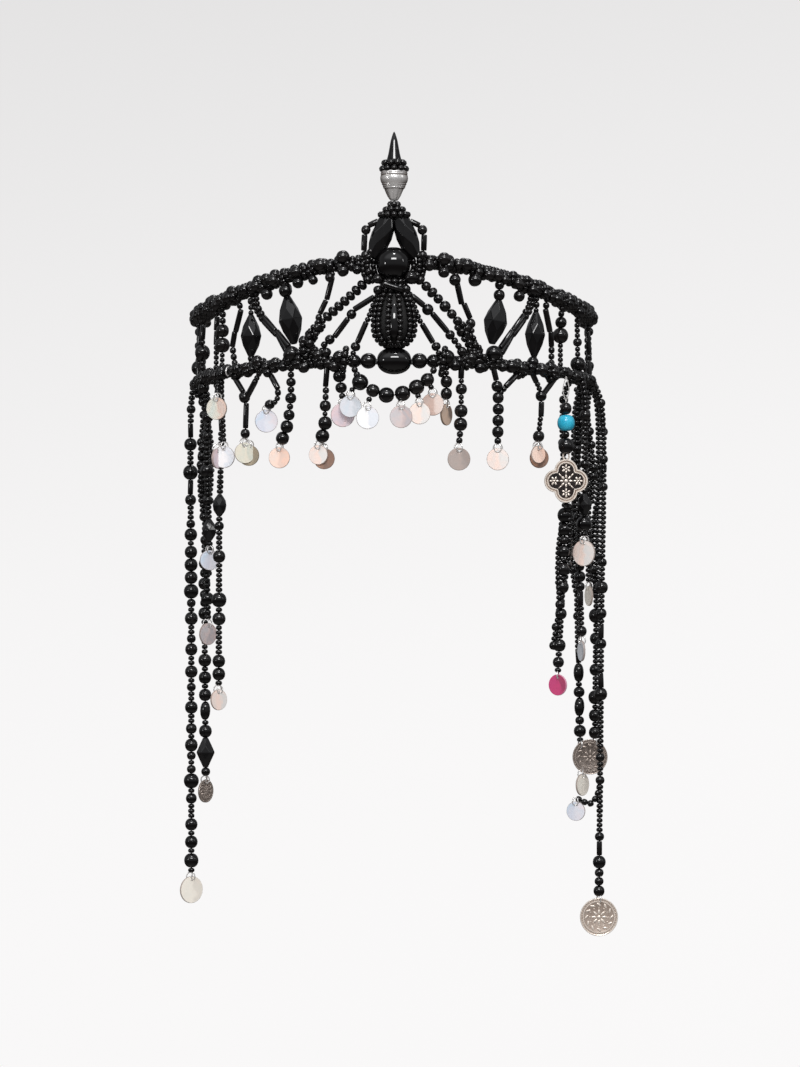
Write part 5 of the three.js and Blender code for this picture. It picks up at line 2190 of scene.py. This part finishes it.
@dataclass
class CharmDrop:
    """Black beads and a turquoise on a clear thread, with the quatrefoil charm below.

    spots are the ends of its two groups of beads. lobe is the radius of a lobe and reach how far its middle
    stands from the charm's. steps are the charm's two borders from its edge inwards, each by width and rise,
    and ground is the dark field's share of the charm's width and of its thickness. The bail is a ring, by
    its radius and wire, that is stretched.
    """

    x: float = 73.4
    y: float = -57.0
    top: float = -1.0
    spots: tuple[float, ...] = (-12.1, -17.4, -24.4, -34.2)
    bow: float = 1.3
    stone: float = -20.9
    stone_across: float = 7.5
    stone_long: float = 6.9
    charm: float = -45.6
    lobe: float = 4.9
    reach: float = 4.4
    lobe_sides: int = 14
    thick: float = 1.7
    steps: tuple[Pair, ...] = ((0.15, 0.15), (0.5, 0.0), (0.12, -0.35), (0.36, 0.0), (0.12, 0.35), (0.4, 0.0),
                               (0.12, -0.55))
    ground: Pair = (0.78, 0.12)
    ground_lift: float = 0.36
    motif_lift: float = 0.1
    bail: Pair = (1.5, 0.42)
    bail_stretch: Pair = (0.85, 1.25)
    bail_lift: float = 1.35
    rosette: tuple[Domes, ...] = (Domes(1, 0, (0.8, 0.8, 0.34)), Domes(8, 1.9, (0.45, 0.85, 0.26)))
    flower_reach: float = 5.1
    flower: tuple[Domes, ...] = (Domes(6, 1.3, (0.42, 0.7, 0.24)), Domes(1, 0, (0.5, 0.5, 0.3)))
    leaf: Domes = Domes(1, 3.6, (0.3, 0.9, 0.24))

    def build(self) -> None:
        """Makes the drop, the stone and the charm."""
        at = [Vector((self.x, self.y, z)) for z in (self.top, *self.spots)]
        work = Beadwork("charm_drop_beads")
        work.string(Route([at[1], at[2]]), chart("m"), None)
        work.string(Route([at[3], at[4]]), chart("p x"), None)
        for bow in (-self.bow, self.bow):
            middle = Vector((self.x + bow, self.y, (self.top + at[1].z) / 2))
            work.thread(Route.through([at[0], middle, at[1]]), CLEAR, Paint.CLEAR_THREAD)
        work.thread(Route([at[1], at[4]]), CLEAR, Paint.CLEAR_THREAD)
        work.publish("jet", "charm_drop")
        stone = Beadwork("turquoise_bead_round")
        body = turned(rounded(self.stone_long, self.stone_across, 2.1, 16, 0.95), 32, hollow=True)
        place = Matrix.Translation((self.x, self.y, self.stone))
        stone.place(keep_form(body, "turquoise_form", smooth=True), place, Paint.TURQUOISE)
        stone.publish("turquoise", "turquoise_bead")
        self._charm()

    def _plate(self) -> tuple[bmesh.types.BMesh, bmesh.types.BMFace]:
        """The charm's plate, with one flat face on each side.

        Returns:
            The body facing +Z, and its front face.
        """
        body = bmesh.new()
        meet = 3 * math.pi / 4 - math.acos(self.reach / math.sqrt(2) / self.lobe)
        corners = []
        for quarter in range(4):
            facing = quarter * math.pi / 2
            for step in range(self.lobe_sides):
                turn = facing - meet + 2 * meet * step / self.lobe_sides
                x = self.reach * math.cos(facing) + self.lobe * math.cos(turn)
                y = self.reach * math.sin(facing) + self.lobe * math.sin(turn)
                corners.append(body.verts.new((x, y, 0)))
        thicken(body, [body.faces.new(corners)], self.thick)
        return body, max(body.faces, key=lambda one: one.calc_center_median().z)

    def _charm(self) -> None:
        """The charm: two raised borders round a dark field, and a rosette with four small flowers."""
        work = Beadwork("quatrefoil_charm_cast")
        body, face = self._plate()
        for width, rise in self.steps:
            bmesh.ops.inset_region(body, faces=[face], thickness=width, depth=rise, use_even_offset=True,
                                   use_boundary=True)
        centre = Vector((self.x, self.y, self.charm))
        face.material_index = 1
        form = keep_form(body, "quatrefoil_form", smooth=False)
        shade(form, lambda corner: 0.95 if corner.z > self.thick - 0.02 else 0.2)
        upright = Matrix.Rotation(math.pi / 2, 4, "X")
        work.place(form, Matrix.Translation(centre + Vector((0, self.thick / 2, 0))) @ upright, Paint.COIN)
        share, flat = self.ground
        sheet, _ = self._plate()
        bmesh.ops.scale(sheet, vec=(share, share, flat), verts=sheet.verts)
        ground, motif = [Matrix.Translation(centre + Vector((0, -self.thick / 2 + lift, 0))) @ upright
                         for lift in (self.ground_lift, self.motif_lift)]
        work.place(keep_form(sheet, "enamel_field", smooth=False), ground, Paint.ENAMEL)
        self._motif(work, motif)
        bail = Matrix.Translation(centre + UP * (self.reach + self.lobe + self.bail_lift)) @ upright
        work.place(ring_form(*self.bail), bail @ Matrix.Diagonal((*self.bail_stretch, 1, 1)), Paint.COIN)
        work.publish("coin_metal", "quatrefoil_charm")

    def _motif(self, work: Beadwork, ground: Matrix) -> None:
        """A rosette in the middle, a small flower in each lobe and a leaf between each two.

        Args:
            work: the piece.
            ground: the field's middle, rising along +Z.
        """
        for ring in self.rosette:
            ring.lay(work, ground, Paint.COIN)
        for quarter in range(4):
            lobe = Matrix.Translation((0, self.flower_reach, 0))
            spot = ground @ Matrix.Rotation(quarter * math.pi / 2, 4, "Z") @ lobe
            for ring in self.flower:
                ring.lay(work, spot, Paint.COIN)
            between = ground @ Matrix.Rotation((quarter + 0.5) * math.pi / 2, 4, "Z")
            self.leaf.lay(work, between, Paint.COIN)


@dataclass(frozen=True)
class Softbox:
    """A soft rectangular light aimed at the headdress.

    azimuth is in degrees from the camera's side towards the right, elevation in degrees above the horizon,
    distance and size are in metres and power in watts. glossy tells whether it shows in reflections.
    """

    name: str
    azimuth: float
    elevation: float
    distance: float
    size: Pair
    power: float
    glossy: bool = True

    def build(self, target: Vector) -> None:
        """Puts the light up.

        Args:
            target: what it is aimed at, in metres.
        """
        data = bpy.data.lights.new(self.name, "AREA")
        data.shape = "RECTANGLE"
        data.size, data.size_y = self.size
        data.energy = self.power
        light = bpy.data.objects.new(self.name, data)
        turn, rise = math.radians(self.azimuth), math.radians(self.elevation)
        away = Vector((math.sin(turn) * math.cos(rise), -math.cos(turn) * math.cos(rise), math.sin(rise)))
        light.location = target + away * self.distance
        light.rotation_euler = away.to_track_quat("Z", "Y").to_euler()
        light.visible_glossy = self.glossy
        light.visible_camera = False
        bpy.context.scene.collection.objects.link(light)


@dataclass
class Studio:
    """Camera, soft lights, pale floor and surroundings.

    The camera's place is in millimetres and the target in metres. sweep is the outline of the floor and of
    the round wall that it rises into, by radius and height in metres.
    """

    camera_x: float = 2.64
    camera_z: float = -68.0
    distance: float = 1800.0
    lens: float = 138.0
    target: Vector = field(default_factory=lambda: Vector((0, -0.06, -0.03)))
    lights: tuple[Softbox, ...] = (
        Softbox("key_strip", 3, 32, 1.35, (0.72, 0.22), 9),
        Softbox("left_box", -56, 8, 1.3, (0.14, 0.16), 1.1),
        Softbox("top_box", 9, 64, 1.3, (0.22, 0.18), 3.4),
        Softbox("right_box", 70, 20, 1.5, (0.12, 0.3), 0.6),
        Softbox("front_fill", 0, 0, 2.6, (2.4, 1.8), 18, glossy=False),
        Softbox("back_fill", 180, 25, 2.4, (1.8, 1.4), 16, glossy=False),
        Softbox("back_strip", 172, 62, 1.5, (0.5, 0.2), 4),
    )
    sweep: tuple[Pair, ...] = ((0.0, -0.62), (3.0, -0.62), (6.0, -0.5), (8.0, 0.2), (9.4, 1.8), (10.0, 4.0),
                               (10.0, 9.0), (8.0, 12.0), (4.0, 14.0), (0.0, 14.6))

    def build(self) -> None:
        """Sets up the studio."""
        self._camera()
        self._world()
        self._floor()
        for light in self.lights:
            light.build(self.target)

    def _camera(self) -> None:
        """A level camera in front of the headdress, at the photograph's angle."""
        data = bpy.data.cameras.new("camera")
        data.lens = self.lens
        data.sensor_width = 36
        data.clip_start = 0.05
        data.clip_end = 60
        camera = bpy.data.objects.new("camera", data)
        camera.location = Vector((self.camera_x, -self.distance, self.camera_z)) * MM
        camera.rotation_euler = (math.pi / 2, 0, 0)
        bpy.context.scene.collection.objects.link(camera)
        bpy.context.scene.camera = camera

    @staticmethod
    def _world() -> None:
        """Grey surroundings: a broad light zone above the camera, and a dark band under the horizon."""
        recipe = Surroundings("surroundings")
        depth, height = recipe.axes(recipe.direction(), "YZ")
        zone = (0 - depth).between(0.1, 0.5) * height.between(0.3, 0.62)
        low = recipe.mix(height.between(-0.9, -0.35), rgb(196, 192, 190), rgb(104, 98, 96))
        recipe.shine(recipe.mix(height.between(-0.2, 0.12), low, rgb(224, 225, 228)), zone * 0.85 + 0.32)
        bpy.context.scene.view_settings.view_transform = "Standard"

    def _floor(self) -> None:
        """A pale floor that sweeps up into a round wall far away: it gives off its own painted light, a
        little darker higher up and towards -X, and it isn't sampled as a lamp.
        """
        form = keep_form(turned(self.sweep, 96), "floor", smooth=True)
        recipe = Recipe("pale_floor")
        across, height = recipe.axes(recipe.place(), "XZ")
        # Painted light: the floor's colour is given off as light, darker higher up and towards -X.
        rise = height - across * 0.18 + recipe.noise(1500, 2) * 0.2
        colour = recipe.mix(rise.between(-0.85, 2.35), rgb(250, 249, 249), rgb(225, 224, 224))
        recipe.end(recipe.node("ShaderNodeEmission", None, {"Color": colour, "Strength": 1.0}))
        recipe.material.cycles.emission_sampling = "NONE"
        form.materials.append(recipe.material)
        floor = bpy.data.objects.new("floor", form)
        bpy.context.scene.collection.objects.link(floor)
        floor.visible_glossy = False
        floor.visible_diffuse = False
        floor.visible_shadow = False


def main() -> None:
    """Builds every sub-assembly in order; each piece logs its face count as it is made."""
    logging.basicConfig(level=logging.INFO, format="%(message)s")
    Ropes().build()
    UprightBeads().build()
    Crest().build()
    Centre().build()
    for made in (*LEGS, *DROPS):
        made.build()
    Swag().build()
    for strand in LONG_STRANDS:
        strand.build()
    Coins().build()
    CharmDrop().build()
    Studio().build()


if __name__ == "__main__":
    main()
